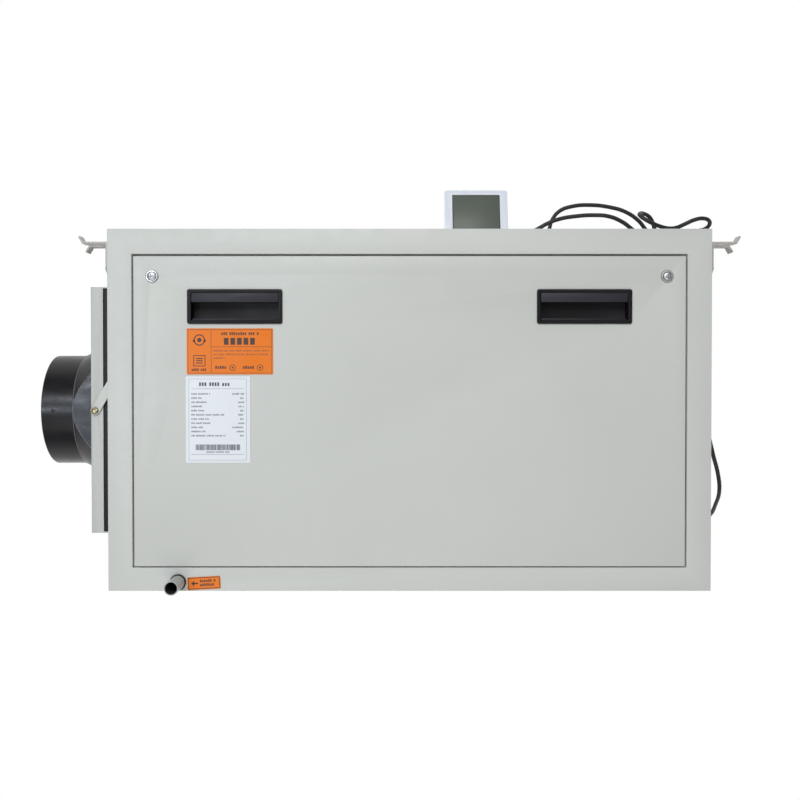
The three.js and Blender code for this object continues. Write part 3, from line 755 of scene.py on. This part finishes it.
def hangers():
    for place in ("front", "rear"):
        for hand, s in (("left", -1), ("right", 1)):
            node = f"hanger_{place}_{hand}"
            obj = softened(node, 0.5 * MM)
            fit(obj, BRACKET_PAINT, "cabinet", "paint", node)
            low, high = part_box(node)
            face = s * (SIDE + 3.4 * MM)
            y = (low.y + high.y) / 2
            places = [(face, y - 10 * MM, low.z + 10 * MM), (face, y + 10 * MM, low.z + 10 * MM)]
            places.append((face, y, low.z + 25 * MM))
            screws(f"{node}_screws", places, "x" if s > 0 else "-x")


cabinet()
hangers()


# ---- access panel fittings ----

def panel_screws():
    for hand in ("left", "right"):
        node = f"panel_screw_{hand}"
        x, _, z = middle_of(node)
        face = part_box("access_panel")[0].y
        cup = mm([
            (2.7, 0.9), (4.6, 1.0), (5.6, 2.1), (6.5, 2.0), (7.3, 1.1), (7.6, 0.1), (7.3, 0.05), (6.4, 0.7),
            (5.2, 0.3), (2.7, 0.2), (2.7, 0.9)])
        washer = turned(f"cup_washer_{hand}", cup, "-y", (x, face, z), 48)
        fit(washer, CHROME, "access_panel", "chrome")
        head = pan_head(5.3 * MM, 2.9 * MM)
        screw = joined(f"{node}_turned", [head, shank(2.4, 19)])
        turn = Matrix.Rotation(0.5 if hand == "left" else 1.1, 4, "Z")
        screw.data.transform(Matrix.Translation((x, face - 0.9 * MM, z)) @ AXES["-y"] @ turn)
        fit(screw, CHROME, "access_panel", "chrome", node)


def handles():
    """The flange and cup of each pull, with a lip above and a ledge below inside the cup."""
    for hand in ("left", "right"):
        node = f"pull_handle_{hand}"
        x, _, z = middle_of(node)
        formed(node, 0.8 * MM, HANDLE_BLACK, 3)
        half = 50 * MM
        lip = slab(f"handle_lip_{hand}", (x - half, -210.9 * MM, z + 5.2 * MM),
                   (x + half, -210.55 * MM, z + 15.8 * MM), 0.15 * MM)
        fit(lip, HANDLE_LIP, "access_panel", "black_abs")
        ledge = slab(f"handle_ledge_{hand}", (x - half, -207.5 * MM, z - 15.9 * MM),
                     (x + half, -195 * MM, z - 13.4 * MM), 0.8 * MM)
        fit(ledge, HANDLE_LIP, "access_panel", "black_abs")


panel_screws()
handles()


# ---- filter box, latch and inlet collar ----

def face_on(name, front, material, body, slot, loops, thickness=0.03 * MM):
    """Thin raised marks on a plane that faces -Y: a pair of loops is a band, a single loop is filled."""
    points, faces = [], []
    for outer, inner in loops:
        start, count = len(points), len(outer)
        points += [(x, front, z) for x, z in outer]
        if inner is None:
            faces.append(tuple(range(start, start + count)))
            continue
        points += [(x, front, z) for x, z in inner]
        for i in range(count):
            j = (i + 1) % count
            faces.append((start + i, start + j, start + count + j, start + count + i))
    obj = from_points(name, points, (), faces)
    edit(obj)
    bpy.ops.mesh.normals_make_consistent(inside=False)
    close(obj)
    apply_modifier(obj, "SOLIDIFY", thickness=thickness, offset=0)
    return fit(obj, material, body, slot)


def filled(x0, z0, x1, z1):
    return ([(x0, z0), (x1, z0), (x1, z1), (x0, z1)], None)


def framed(x0, z0, x1, z1, width):
    outer, _ = filled(x0, z0, x1, z1)
    inner, _ = filled(x0 + width, z0 + width, x1 - width, z1 - width)
    return (outer, inner)


def circle_band(x, z, outer, inner):
    steps = 40
    rim = [(math.cos(2 * math.pi * i / steps), math.sin(2 * math.pi * i / steps)) for i in range(steps)]
    loop = [(x + outer * c, z + outer * s) for c, s in rim]
    return (loop, [(x + inner * c, z + inner * s) for c, s in rim] if inner else None)


def blank_words(x0, x1, z, height, share=1.0):
    """A row of small blocks grouped like words, standing for a line of print without any lettering."""
    bars, x = [], x0
    end = x0 + (x1 - x0) * share
    stroke, gap = height * 0.5, height * 0.24
    while x < end - stroke:
        for _ in range(rng.randint(3, 9)):
            if x > end - stroke:
                break
            tall = height * rng.choice((0.42, 0.5))
            bars.append(filled(x, z - height * 0.4, x + stroke, z - height * 0.4 + tall * 2))
            x += stroke + gap
        x += height * 0.6
    return bars


def filter_box():
    formed("filter_frame", 0.5 * MM, FILTER_PAINT_SHADED)
    formed("filter_surround", 0.6 * MM, TEXTURED_BLACK)
    low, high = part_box("filter_media")
    pleats = 46
    rise = (high.z - low.z) / (2 * pleats)
    count = 2 * pleats + 1
    folds = (high.x - 1 * MM, low.x + 1 * MM)
    points = []
    for y in (low.y, high.y):
        points += [(folds[i % 2], y, low.z + i * rise) for i in range(count)]
    faces = [(i, i + 1, count + i + 1, count + i) for i in range(count - 1)]
    media = from_points("pleated_media", points, (), faces)
    apply_modifier(media, "SOLIDIFY", thickness=1.2 * MM, offset=0)
    stand_in(media, FILTER_FELT, "filter_media")
    threads = []
    for i in range(1, 8):
        y = low.y + (high.y - low.y) * i / 8
        threads.append(slab(f"thread_{i}", (low.x + 0.1 * MM, y - 0.8 * MM, low.z),
                            (low.x + 0.7 * MM, y + 0.8 * MM, high.z)))
    beside(joined("pleat_spacers", threads), TEXTURED_BLACK, "filter_media")
    box_low, box_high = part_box("filter_frame")
    x = box_low.x - 0.1 * MM
    places = [(x, y, z) for y in (box_low.y + 10 * MM, box_high.y - 10 * MM) for z in (0.075, 0.21, 0.344)]
    screws("filter_box_screws", places, "-x")


def latch():
    formed("latch_strap", 0.25 * MM, PAINT)
    x, _, z = middle_of("latch_screw")
    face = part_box("latch_strap")[0].y - 0.1 * MM
    head = turned("dished_head", mm([
        (0, 0), (4.25, 0), (4.2, 1.6), (3.7, 2.6), (3.1, 2.7), (2.6, 1.9), (0, 1.5)]), steps=28)
    blade = slab("blade", (-3.2 * MM, -0.6 * MM, 0.8 * MM), (3.2 * MM, 0.6 * MM, 4 * MM))
    carved(head, blade)
    smooth(head, 30)
    screw = joined("latch_screw_turned", [head, shank(1.9, 9)])
    screw.data.transform(Matrix.Translation((x, face, z)) @ AXES["-y"] @ Matrix.Rotation(0.4, 4, "Z"))
    stand_in(screw, YELLOW_ZINC, "latch_screw")


collar_low, collar_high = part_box("duct_collar")
AXIS = (0, 0, (collar_low.z + collar_high.z) / 2)


def between_flats(obj, half):
    """Keeps what lies within a half width in front of and behind the collar's axis."""
    margin = Vector((0.01, 0, 0.01))
    low, high = collar_low - margin, collar_high + margin
    keep = slab("keep", (low.x, -half, low.z), (high.x, half, high.z))
    apply_modifier(obj, "BOOLEAN", operation="INTERSECT", object=keep, solver="EXACT")
    bpy.data.objects.remove(keep)


def duct_collar():
    """Straight spigot and cone, with flats moulded on the front and the back of the cone."""
    rim, seat, lip = collar_low.x, collar_high.x, -402 * MM
    shoulder = -436 * MM
    outer, bore, cone, wall = 73.5 * MM, 70.5 * MM, 95 * MM, 3 * MM
    fillet = 1.2 * MM
    solid = turned("duct_collar_turned", [
        (0, rim), (bore, rim), (outer - fillet, rim), (outer - 0.35 * fillet, rim + 0.35 * fillet),
        (outer, rim + fillet), (outer, shoulder - 1.4 * MM), (outer + 0.9 * MM, shoulder - 0.6 * MM),
        (outer + 1.2 * MM, shoulder + 0.2 * MM), (cone - 0.6 * MM, lip - 1 * MM), (cone, lip), (cone, seat),
        (0, seat)], "x", AXIS, 192, 20)
    facet = 74 * MM
    between_flats(solid, facet)
    before, past = rim - 1 * MM, seat + 1 * MM
    mouth = cone - wall
    funnel = [(0, shoulder), (bore, shoulder), (mouth, lip), (mouth, past), (0, past)]
    hollow = turned("hollow", funnel, "x", AXIS, 128)
    between_flats(hollow, facet - wall)
    barrel = [(0, before), (bore + 1 * MM, before), (bore, rim + 1 * MM), (bore, past), (0, past)]
    throat = turned("throat", barrel, "x", AXIS, 128)
    carved(solid, hollow, throat)
    rounded(solid, 0.5 * MM, 2, 24)
    smooth(solid, 22)
    stand_in(solid, COLLAR_BLACK, "duct_collar")
    # Raised beads on the shoulder circle and along the edges of the flats, in a lighter grey as a painted
    # highlight.
    slope = (cone - outer) / (lip - shoulder)
    foot, crest = outer + 0.6 * MM, outer + 1.5 * MM
    beads = [turned("shoulder_bead", [
        (foot, shoulder - 0.9 * MM), (crest, shoulder - 0.3 * MM), (crest, shoulder + 0.4 * MM),
        (foot, shoulder + 0.8 * MM), (foot, shoulder - 0.9 * MM)], "x", AXIS, 128)]
    start = shoulder + (facet - outer) / slope
    steps = 14
    for side in (-1, 1):
        edge = []
        for i in range(-steps, steps + 1):
            x = start + (lip - 0.5 * MM - start) * (i / steps) ** 2
            radius = outer + (x - shoulder) * slope
            z = math.copysign(math.sqrt(max(0, radius ** 2 - facet ** 2)), i)
            edge.append((x, side * (facet - 0.15 * MM), AXIS[2] + z))
        line = line_piece("facet_bead", edge, 0.55 * MM)
        only(line)
        bpy.ops.object.convert(target="MESH")
        beads.append(line)
    beside(joined("collar_highlight_beads", beads), COLLAR_HIGHLIGHT_GREY, "duct_collar")
    gate = turned("gate_mark", mm([(0, 0.25), (2.2, 0.2), (2.6, 0), (0, 0)]), "-y",
                  (-462 * MM, -outer + 0.1 * MM, AXIS[2]), 24)
    beside(gate, COLLAR_BLACK, "duct_collar")


filter_box()
latch()
duct_collar()


# ---- drain ----

def drain():
    low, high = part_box("drain_pipe")
    x, _, z = middle_of("drain_pipe")
    outer, bore, edge = 8 * MM, 7 * MM, 0.3 * MM
    pipe = turned("drain_pipe_turned", [
        (bore, low.y + edge), (bore + edge, low.y), (outer - edge, low.y), (outer, low.y + edge),
        (outer, high.y), (bore, high.y), (bore, low.y + edge)], "y", (x, 0, z), 72)
    stand_in(pipe, PIPE_GREY, "drain_pipe")
    # A thin dark film just inside the bore, starting a little way in: painted shade in the pipe's mouth.
    skin, inside = bore - 0.02 * MM, bore - 0.15 * MM
    near, far = low.y + 1.5 * MM, high.y - 1 * MM
    ring = [(skin, near), (skin, far), (inside, far), (inside, near), (skin, near)]
    bore_shade = turned("drain_pipe_bore_shade", ring, "y", (x, 0, z), 72)
    beside(bore_shade, PIPE_BORE_SHADE, "drain_pipe")
    low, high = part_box("drain_grommet")
    inside, waist, flange = 8.15 * MM, 8.7 * MM, 9.4 * MM
    grommet = turned("drain_grommet_turned", [
        (inside, low.y + 0.3 * MM), (inside + 0.3 * MM, low.y), (flange - 0.5 * MM, low.y),
        (flange, low.y + 0.6 * MM), (flange, low.y + 1.8 * MM), (waist, low.y + 2.0 * MM), (waist, high.y),
        (inside, high.y), (inside, low.y + 0.3 * MM)], "y", (x, 0, z), 72)
    stand_in(grommet, SEAL_RUBBER, "drain_grommet")
    formed("drain_pan", 0.4 * MM, ZINC_SHEET)


drain()


# ---- labels ----

def sheet(node, centre, size, material, turn=0):
    """A film with rounded corners where the CAD label is, and the plane that its print lies on."""
    low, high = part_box(node)
    half = Vector((size[0] / 2, 0, size[1] / 2))
    middle = Vector((centre[0], 0, centre[1]))
    obj = slab(node + "_film", middle - half + Vector((0, low.y, 0)), middle + half + Vector((0, high.y, 0)))
    corners = obj.data.vertices
    edit(obj, "EDGE", lambda e: abs(corners[e.vertices[0]].co.y - corners[e.vertices[1]].co.y) > 1e-6)
    bpy.ops.mesh.bevel(offset=1.2 * MM, segments=4)
    close(obj)
    tilt = Matrix.Rotation(math.radians(-turn), 4, "Y")
    pivot = Matrix.Translation(middle) @ tilt @ Matrix.Translation(-middle)
    obj.data.transform(pivot)
    stand_in(obj, material, node)
    return low.y, pivot


def refrigerant_label():
    centre, size = (-208.1 * MM, 278.2 * MM), (100 * MM, 53.3 * MM)
    front, _ = sheet("refrigerant_label", centre, size, ORANGE_FILM)
    x0, x1 = centre[0] - size[0] / 2 + 1.3 * MM, centre[0] + size[0] / 2 - 1.3 * MM
    z0, z1 = centre[1] - size[1] / 2 + 1.3 * MM, centre[1] + size[1] / 2 - 1.3 * MM
    line = 0.45 * MM
    divide = x0 + 0.275 * (x1 - x0)
    middle = z1 - 0.40 * (z1 - z0)
    marks = [framed(x0, z0, x1, z1, line), filled(divide, z0 + line, divide + line, z1 - line),
             filled(divide + line, middle, x1 - line, middle + line)]
    icon = (x0 + divide) / 2
    upper, lower = z1 - 12.2 * MM, z0 + 14.5 * MM
    marks += [circle_band(icon, upper, 6.6 * MM, 5.3 * MM), circle_band(icon, upper, 2.6 * MM, None)]
    for side in (-1, 1):
        marks.append(([(icon + side * 4.6 * MM, upper), (icon + side * 8.2 * MM, upper),
                       (icon + side * 6.4 * MM, upper - 3 * MM)], None))
    marks += [framed(icon - 7 * MM, lower - 6.5 * MM, icon + 7 * MM, lower + 6.5 * MM, 0.9 * MM)]
    for k in (-1, 0, 1):
        z = lower + k * 2.6 * MM
        marks.append(filled(icon - 3.8 * MM, z - 0.6 * MM, icon + 3.8 * MM, z + 0.6 * MM))
    left, right = divide + 3 * MM, x1 - 3 * MM
    marks += blank_words(left + 9 * MM, right - 12 * MM, z1 - 5.2 * MM, 3.4 * MM)
    for i in range(5):
        x = left + (12 + 7.6 * i) * MM
        marks.append(filled(x, middle + 2.6 * MM, x + 5.4 * MM, middle + 10.6 * MM))
    ring = z0 + 6.5 * MM
    for x in (left + 2 * MM, left + 34 * MM):
        marks += blank_words(x, x + 15 * MM, ring, 3.6 * MM)
        marks.append(circle_band(x + 20 * MM, ring, 3.6 * MM, 2.9 * MM))
        marks.append(circle_band(x + 20 * MM, ring, 1.2 * MM, None))
    marks += blank_words(icon - 9 * MM, icon + 9.5 * MM, z0 + 3.8 * MM, 3 * MM)
    face_on("refrigerant_marks", front - 0.01 * MM, BROWN_INK, "access_panel", "label_orange", marks)
    small = []
    for i in range(3):
        small += blank_words(left, right, middle - (4.4 + 4.3 * i) * MM, 2 * MM, 1 if i < 2 else 0.2)
    face_on("refrigerant_small_marks", front - 0.01 * MM, RUST_INK, "access_panel", "label_orange", small)


def data_label():
    centre, size = (-222 * MM, 199.2 * MM), (74.7 * MM, 100.3 * MM)
    front, _ = sheet("data_label", centre, size, WHITE_FILM)
    left, right = centre[0] - size[0] / 2 + 3.5 * MM, centre[0] + size[0] / 2 - 4.2 * MM
    low, top = centre[1] - size[1] / 2 + 2.9 * MM, centre[1] + size[1] / 2
    hair = 0.3 * MM
    marks = [framed(left, low, right, top - 2.9 * MM, 0.25 * MM)]
    marks += blank_words(left + 12 * MM, right - 15 * MM, top - 9.6 * MM, 4.2 * MM)
    for drop in (14.6, 90.7):
        marks.append(filled(left + 3 * MM, top - drop * MM, right - 3 * MM, top - drop * MM + hair))
    x, end = left + 8 * MM, right - 7.5 * MM
    while x < end:
        width = rng.choice((0.4, 0.7, 1.1)) * MM
        marks.append(filled(x, top - 85.7 * MM, x + width, top - 79 * MM))
        x += width + rng.choice((0.35, 0.6)) * MM
    marks += blank_words(left + 20 * MM, right - 20 * MM, top - 87.9 * MM, 1.5 * MM)
    face_on("data_marks", front - 0.01 * MM, GREY_INK, "access_panel", "label_white", marks)
    rows = []
    for i in range(11):
        z = top - (20.5 + 4.85 * i) * MM
        rows += blank_words(left + 3 * MM, left + 44 * MM, z, 1.9 * MM, rng.uniform(0.25, 1))
        start = right - (2.5 + rng.choice((5, 7, 9, 14))) * MM
        rows += blank_words(start, right - 2.5 * MM, z, 1.9 * MM)
    face_on("data_row_marks", front - 0.01 * MM, PALE_INK, "access_panel", "label_white", rows)


def drain_label():
    centre, size = (-238.8 * MM, 9.3 * MM), (38.4 * MM, 14.8 * MM)
    front, pivot = sheet("drain_label", centre, size, ORANGE_FILM, 3)
    x0, x1 = centre[0] - size[0] / 2 + 0.7 * MM, centre[0] + size[0] / 2 - 0.7 * MM
    z0, z1 = centre[1] - size[1] / 2 + 0.7 * MM, centre[1] + size[1] / 2 - 0.7 * MM
    z = centre[1]
    marks = [framed(x0, z0, x1, z1, 0.8 * MM)]
    marks += [filled(x0 + 7 * MM, z - 0.9 * MM, x0 + 11.5 * MM, z + 0.9 * MM),
              ([(x0 + 7.2 * MM, z - 2.9 * MM), (x0 + 7.2 * MM, z + 2.9 * MM), (x0 + 3.4 * MM, z)], None)]
    marks += blank_words(x0 + 14 * MM, x1 - 3 * MM, z + 2.2 * MM, 3.2 * MM)
    marks += blank_words(x0 + 14 * MM, x1 - 3 * MM, z - 2.4 * MM, 3.2 * MM, 0.8)
    obj = face_on("drain_marks", front - 0.01 * MM, BROWN_INK, "cabinet", "label_orange", marks)
    obj.data.transform(pivot)


refrigerant_label()
data_label()
drain_label()


# ---- wall controller ----

LEAN = Matrix.Translation((0.0929, -0.01, TOP + 0.35 * MM)) @ Matrix.Rotation(math.radians(-16), 4, "X")


def controller():
    formed("controller_rear_housing", 1.2 * MM, BEZEL_WHITE, 3)
    formed("controller_bezel", 0.6 * MM, BEZEL_WHITE, 3)
    formed("controller_display", 0.12 * MM, CRYSTAL)
    for i in range(4):
        node = f"controller_key_{i + 1}"
        formed(node, 0.4 * MM, KEY_WHITE, 3)
    half, low, high, front = 32.5 * MM, 24 * MM, 79 * MM, -13 * MM
    border = [framed(-half + 0.4 * MM, low + 0.4 * MM, half - 0.4 * MM, high - 0.4 * MM, 1.0 * MM)]
    edge = face_on("display_border", front + 0.16 * MM, GLASS_EDGE, "cabinet", "lcd", border)
    edge.data.transform(LEAN)
    # A flat band of brighter white round the display: painted highlight on the bezel's inner edge.
    trim = [framed(-half - 1.3 * MM, low - 1.3 * MM, half + 1.3 * MM, high + 1.3 * MM, 1.1 * MM)]
    rim = face_on("display_highlight_band", front - 0.1 * MM, TRIM_HIGHLIGHT_WHITE, "cabinet", "control_white", trim, 0.22 * MM)
    rim.data.transform(LEAN)
    # A thin band in the keys' darker grey where the bezel steps: painted shade, the step itself is barely
    # raised.
    seam = [framed(-40.4 * MM, 2.6 * MM, 40.4 * MM, 83.4 * MM, 0.35 * MM)]
    step_shade = face_on("bezel_step_shade_line", front - 0.02 * MM, KEY_WHITE, "cabinet", "control_white", seam, 0.06 * MM)
    step_shade.data.transform(LEAN)
    for i, x in enumerate((-22.5, -7.5, 7.5, 22.5)):
        marks = [filled((x - 1.6) * MM, 11.9 * MM, (x + 1.6) * MM, 12.5 * MM)]
        if i % 2:
            marks.append(filled((x - 0.3) * MM, 10.6 * MM, (x + 0.3) * MM, 11.9 * MM))
            marks.append(filled((x - 0.3) * MM, 12.5 * MM, (x + 0.3) * MM, 13.8 * MM))
        mark = face_on(f"key_mark_{i + 1}", front - 1.01 * MM, GREY_INK, f"key_{i + 1}", "control_white",
                       marks)
        mark.data.transform(LEAN)


controller()


# ---- refrigeration ----

def hairpin(name, x0, z0, x1, z1, y, reach):
    """One copper return bend outside an end plate."""
    side = y + reach * 0.6
    middle = ((x0 + x1) / 2, y + reach, (z0 + z1) / 2)
    return line_piece(name, [(x0, y, z0), (x0, side, z0), middle, (x1, side, z1), (x1, y, z1)], 3.6 * MM)


def coil(node):
    """Fin pack, folded end plates and return bends."""
    low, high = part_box(node)
    pitch = 2.6 * MM
    fin = slab("fin", (low.x + 0.5 * MM, low.y + 3 * MM, low.z + 8 * MM),
               (high.x - 0.5 * MM, low.y + 3.25 * MM, high.z - 4 * MM))
    count = int((high.y - low.y - 6 * MM) / pitch) + 1
    apply_modifier(fin, "ARRAY", count=count, use_relative_offset=False, use_constant_offset=True,
                   constant_offset_displace=(0, pitch, 0))
    stand_in(fin, FIN_STOCK, node)
    plates = []
    for i, y in enumerate((low.y, high.y - 1.5 * MM)):
        plate = slab(f"plate_{i}", (low.x, y, low.z), (high.x, y + 1.5 * MM, high.z))
        plates.append(rounded(plate, 0.3 * MM))
        edge = slab(f"return_{i}", (high.x - 1.2 * MM, min(y, y + (10 if i == 0 else -8.5) * MM), low.z),
                    (high.x, max(y + 1.5 * MM, y + (10 if i == 0 else 0) * MM), high.z))
        plates.append(edge)
    plates = smooth(joined(node + "_plates", plates))
    beside(plates, ZINC_SHEET, node)
    across = [low.x + (high.x - low.x) * share for share in (0.27, 0.73)]
    rows = 12
    step = (high.z - low.z - 30 * MM) / (rows - 1)
    bends = []
    for i in range(rows):
        z = low.z + 15 * MM + i * step
        for side, y, reach in ((0, low.y, -9 * MM), (1, high.y, 9 * MM)):
            if side == i % 2 and i + 1 < rows:
                for k, x in enumerate(across):
                    bends.append(hairpin(f"bend_{i}_{k}", x, z, x, z + step, y, reach))
    for bend in bends:
        only(bend)
        bpy.ops.object.convert(target="MESH")
    tubes = joined(node + "_bends", bends)
    beside(tubes, COPPER, node, "copper")


COMPRESSOR_AT = (-0.12, -0.08)
COMPRESSOR_RADIUS = 55 * MM


def compressor():
    """Domed shell on its pressed foot, with the cover of its terminals."""
    x, y = COMPRESSOR_AT
    base, radius = 30 * MM, COMPRESSOR_RADIUS
    shell = turned("compressor_shell", [
        (0, base + 1 * MM), (40 * MM, base + 1 * MM), (50 * MM, base + 5 * MM), (radius, base + 16 * MM),
        (radius, 150 * MM), (radius + 1.6 * MM, 152 * MM), (radius + 1.6 * MM, 157 * MM), (radius, 159 * MM),
        (radius, 214 * MM)] + mm([(53.5, 221), (48, 228), (38, 233.5), (16, 237.5), (8, 238), (0, 238)]),
        "z", (x, y, 0), 96)
    foot = softened("compressor", 0.8 * MM)
    trim = slab("trim", (x - 0.2, y - 0.2, base + 3.4 * MM), (x + 0.2, y + 0.2, 0.3))
    carved(foot, trim)
    body = joined("compressor_formed", [shell, foot])
    smooth(body, 30)
    stand_in(body, ENAMEL, "compressor")
    cap = slab("terminal_cover", (x - 20 * MM, y - radius - 16 * MM, 168 * MM),
               (x + 20 * MM, y - radius + 4 * MM, 206 * MM), 3 * MM, 3)
    beside(cap, TEXTURED_BLACK, "compressor", "black_matte")


def compressor_mounts():
    for i in range(3):
        node = f"compressor_mount_{i + 1}"
        low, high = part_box(node)
        x, y, _ = middle_of(node)
        r = 9 * MM
        profile = [(0, low.z), (r, low.z), (r, low.z + 5 * MM), (r - 2.5 * MM, low.z + 8 * MM),
                   (r, low.z + 11 * MM), (r, low.z + 16 * MM), (r - 2.5 * MM, low.z + 19 * MM),
                   (r, low.z + 22 * MM), (r, high.z), (0, high.z)]
        stand_in(turned(node + "_turned", profile, "z", (x, y, 0), 40), SEAL_RUBBER, node)


def accumulator():
    x, y, _ = middle_of("accumulator")
    tank = turned("accumulator_turned", mm([
        (0, 60), (12, 61), (19, 66), (22, 74), (22, 188), (19, 197), (12, 202), (7, 203),
        (0, 203)]), "z", (x, y, 0), 64)
    stand_in(tank, ENAMEL, "accumulator")
    strap = turned("accumulator_strap", mm([
        (22, 120), (22.9, 120), (22.9, 132), (22, 132), (22, 120)]), "z", (x, y, 0), 64)
    beside(strap, ZINC_SHEET, "accumulator", "galvanised")


def filter_drier():
    dryer = turned("filter_drier_turned", mm([
        (0, 96), (4, 96), (4, 104), (6, 109), (10, 114), (11, 119), (11, 187), (10, 192), (6, 197),
        (4, 202), (4, 210), (0, 210)]), "z", (-205 * MM, -150 * MM, 0), 56)
    stand_in(dryer, COPPER, "filter_drier")


def refrigerant_lines():
    x, y = COMPRESSOR_AT
    tank_x = x + COMPRESSOR_RADIUS + 26 * MM
    suction = mm([
        (-312, -167.6, 110), (-312, -176, 110.5), (-309, -184, 128), (-290, -186, 200), (-240, -186, 250),
        (-160, -170, 270), (-90, -135, 272)])
    suction += [(tank_x - 8 * MM, y - 10 * MM, 250 * MM), (tank_x, y, 225 * MM), (tank_x, y, 203.8 * MM)]
    discharge = mm([
        (-120, -80, 238.5), (-120, -80, 258), (-130, -82, 285), (-160, -110, 330), (-220, -175, 350),
        (-248, -184, 344), (-256, -185, 318), (-256, -178, 305.5), (-256, -167.6, 305)])
    liquid = mm([
        (-244, -167.6, 228), (-243, -174, 229), (-232, -177, 231), (-214, -169, 232), (-205.5, -154, 226),
        (-205, -150, 208)])
    capillary = mm([
        (-205, -150, 98), (-205, -152, 82), (-215, -170, 66), (-240, -185, 58), (-290, -186, 62),
        (-322, -183, 80), (-322, -175, 92), (-322, -167.6, 92)])
    for name, points, radius in (("liquid_line", liquid, 3.2 * MM), ("capillary_tube", capillary, 1.3 * MM)):
        fit(line_piece(name, points, radius), COPPER, "cabinet", "copper")
    for node, points, radius in (("suction_pipe", suction, 6 * MM), ("discharge_pipe", discharge, 5 * MM)):
        pipe = line_piece(node + "_drawn", points, radius)
        stand_in(pipe, COPPER, node)


coil("evaporator_coil")
coil("condenser_coil")
compressor()
compressor_mounts()
accumulator()
filter_drier()
refrigerant_lines()


# ---- blower, outlet and electrics ----

def blower():
    formed("blower_housing", 0.3 * MM, ZINC_SHEET)
    formed("blower_wheel", 0.15 * MM, TEXTURED_BLACK, 1)
    formed("motor_bracket", 0.5 * MM, ZINC_SHEET)
    low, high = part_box("blower_motor")
    x, _, z = middle_of("blower_motor")
    shell = mm([
        (0, -95), (33, -95), (37, -94), (41, -88), (41, -70), (42, -69), (42, -62), (41, -61), (41, -38),
        (38, -33), (34, -29.2), (12, -29), (11, -27), (5, -27)])
    motor = turned("blower_motor_turned", shell + [(5 * MM, high.y), (0, high.y)], "y", (x, 0, z), 72)
    stand_in(motor, ENAMEL, "blower_motor")
    low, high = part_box("blower_wheel")
    middle = middle_of("blower_wheel")[1]
    cap = turned("blower_hub_cap", mm([
        (5.3, 0), (13, 0), (13, 2), (11.5, 3), (5.3, 3), (5.3, 0)]), "-y", (x, middle - 12 * MM, z), 48)
    fit(cap, BRIGHT_ZINC, "blower_wheel", "galvanised")
    formed("outlet_flange", 0.4 * MM, PAINT)
    formed("outlet_guard", 0.4 * MM, TEXTURED_BLACK)
    low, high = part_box("outlet_flange")
    x = low.x + 1.6 * MM
    inset = 10 * MM
    ys = [low.y + inset, (low.y + high.y) / 2, high.y - inset]
    places = [(x, y, z) for y in ys for z in (low.z + inset, high.z - inset)]
    screws("outlet_screws", places, "x")


def electrics():
    formed("electrical_box", 0.4 * MM, ZINC_SHEET)
    formed("electrical_box_cover", 0.5 * MM, ZINC_SHEET)
    formed("control_board", 0.2 * MM, CIRCUIT)
    low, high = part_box("electrical_box_cover")
    inset = 8 * MM
    face = low.y - 0.1 * MM
    levels = (low.z + inset, high.z - inset)
    places = [(x, face, z) for x in (low.x + inset, high.x - inset) for z in levels]
    screws("cover_screws", places, "-y", "galvanised")
    low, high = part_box("control_board")
    front = low.y
    parts = []
    for i in range(4):
        x = low.x + (9 + 20 * i) * MM
        parts.append(slab(f"relay_{i}", (x, front - 15 * MM, high.z - 42 * MM),
                          (x + 15 * MM, front, high.z - 23 * MM), 0.6 * MM))
    parts.append(slab("terminals", (low.x + 6 * MM, front - 12 * MM, low.z + 6 * MM),
                      (high.x - 6 * MM, front, low.z + 20 * MM), 0.6 * MM))
    parts.append(slab("processor", (low.x + 36 * MM, front - 2.5 * MM, low.z + 80 * MM),
                      (low.x + 50 * MM, front, low.z + 94 * MM), 0.3 * MM))
    beside(joined("board_parts", parts), TEXTURED_BLACK, "control_board", "black_matte")
    cans = [turned(f"capacitor_{i}", mm([(0, 0), (5.5, 0), (5.5, 17), (4.8, 18), (0, 18)]), "-y",
                   (low.x + (16 + 16 * i) * MM, front, low.z + 45 * MM), 32) for i in range(2)]
    beside(joined("board_capacitors", cans), BRIGHT_ZINC, "control_board", "galvanised")
    wires = mm([
        (-120, -150, 190), (-100, -166, 150), (-40, -172, 70), (60, -172, 22), (170, -168, 22),
        (222, -158, 60), (228, -150, 120), (234.5, -145, 150)])
    fit(line_piece("compressor_lead", wires, 3.5 * MM), CABLE_SHEATH, "cabinet", "cable_sheath")
    motor = mm([(160, -62, 205), (176, -84, 204), (200, -108, 212), (234.5, -112, 220)])
    fit(line_piece("motor_lead", motor, 2.6 * MM), CABLE_SHEATH, "cabinet", "cable_sheath")


def glands():
    for node, bore in (("control_cable_gland", 2.6 * MM), ("mains_gland", 0.0)):
        low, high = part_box(node)
        _, y, z = middle_of(node)
        out, end, inner = SIDE + 0.3 * MM, high.x, low.x
        flange = (high.z - low.z) / 2
        radius = flange - 3 * MM
        profile = [
            (bore, inner), (radius, inner), (radius, out), (flange - 0.5 * MM, out), (flange, out + 0.6 * MM),
            (flange, out + 6.4 * MM), (flange - 0.6 * MM, out + 7 * MM), (radius, out + 9 * MM),
            (radius - 1.6 * MM, out + 14 * MM), (max(bore, 1.2 * MM) + 1.2 * MM, end), (bore, end)]
        if bore:
            profile.append((bore, inner))
        body = turned(node + "_turned", profile, "x", (0, y, z), 72, 30)
        stand_in(body, TEXTURED_BLACK, node)
        ribs = []
        for i in range(18):
            turn = Matrix.Rotation(2 * math.pi * i / 18, 4, "X")
            rib = slab(f"rib_{i}", (out + 1.2 * MM, -0.7 * MM, flange - 0.5 * MM),
                       (out + 6 * MM, 0.7 * MM, flange + 0.35 * MM))
            rib.data.transform(Matrix.Translation((0, y, z)) @ turn)
            ribs.append(rib)
        beside(joined(node + "_ribs", ribs), TEXTURED_BLACK, node)


blower()
electrics()
glands()


bpy.data.objects.remove(SMALL_SCREW)
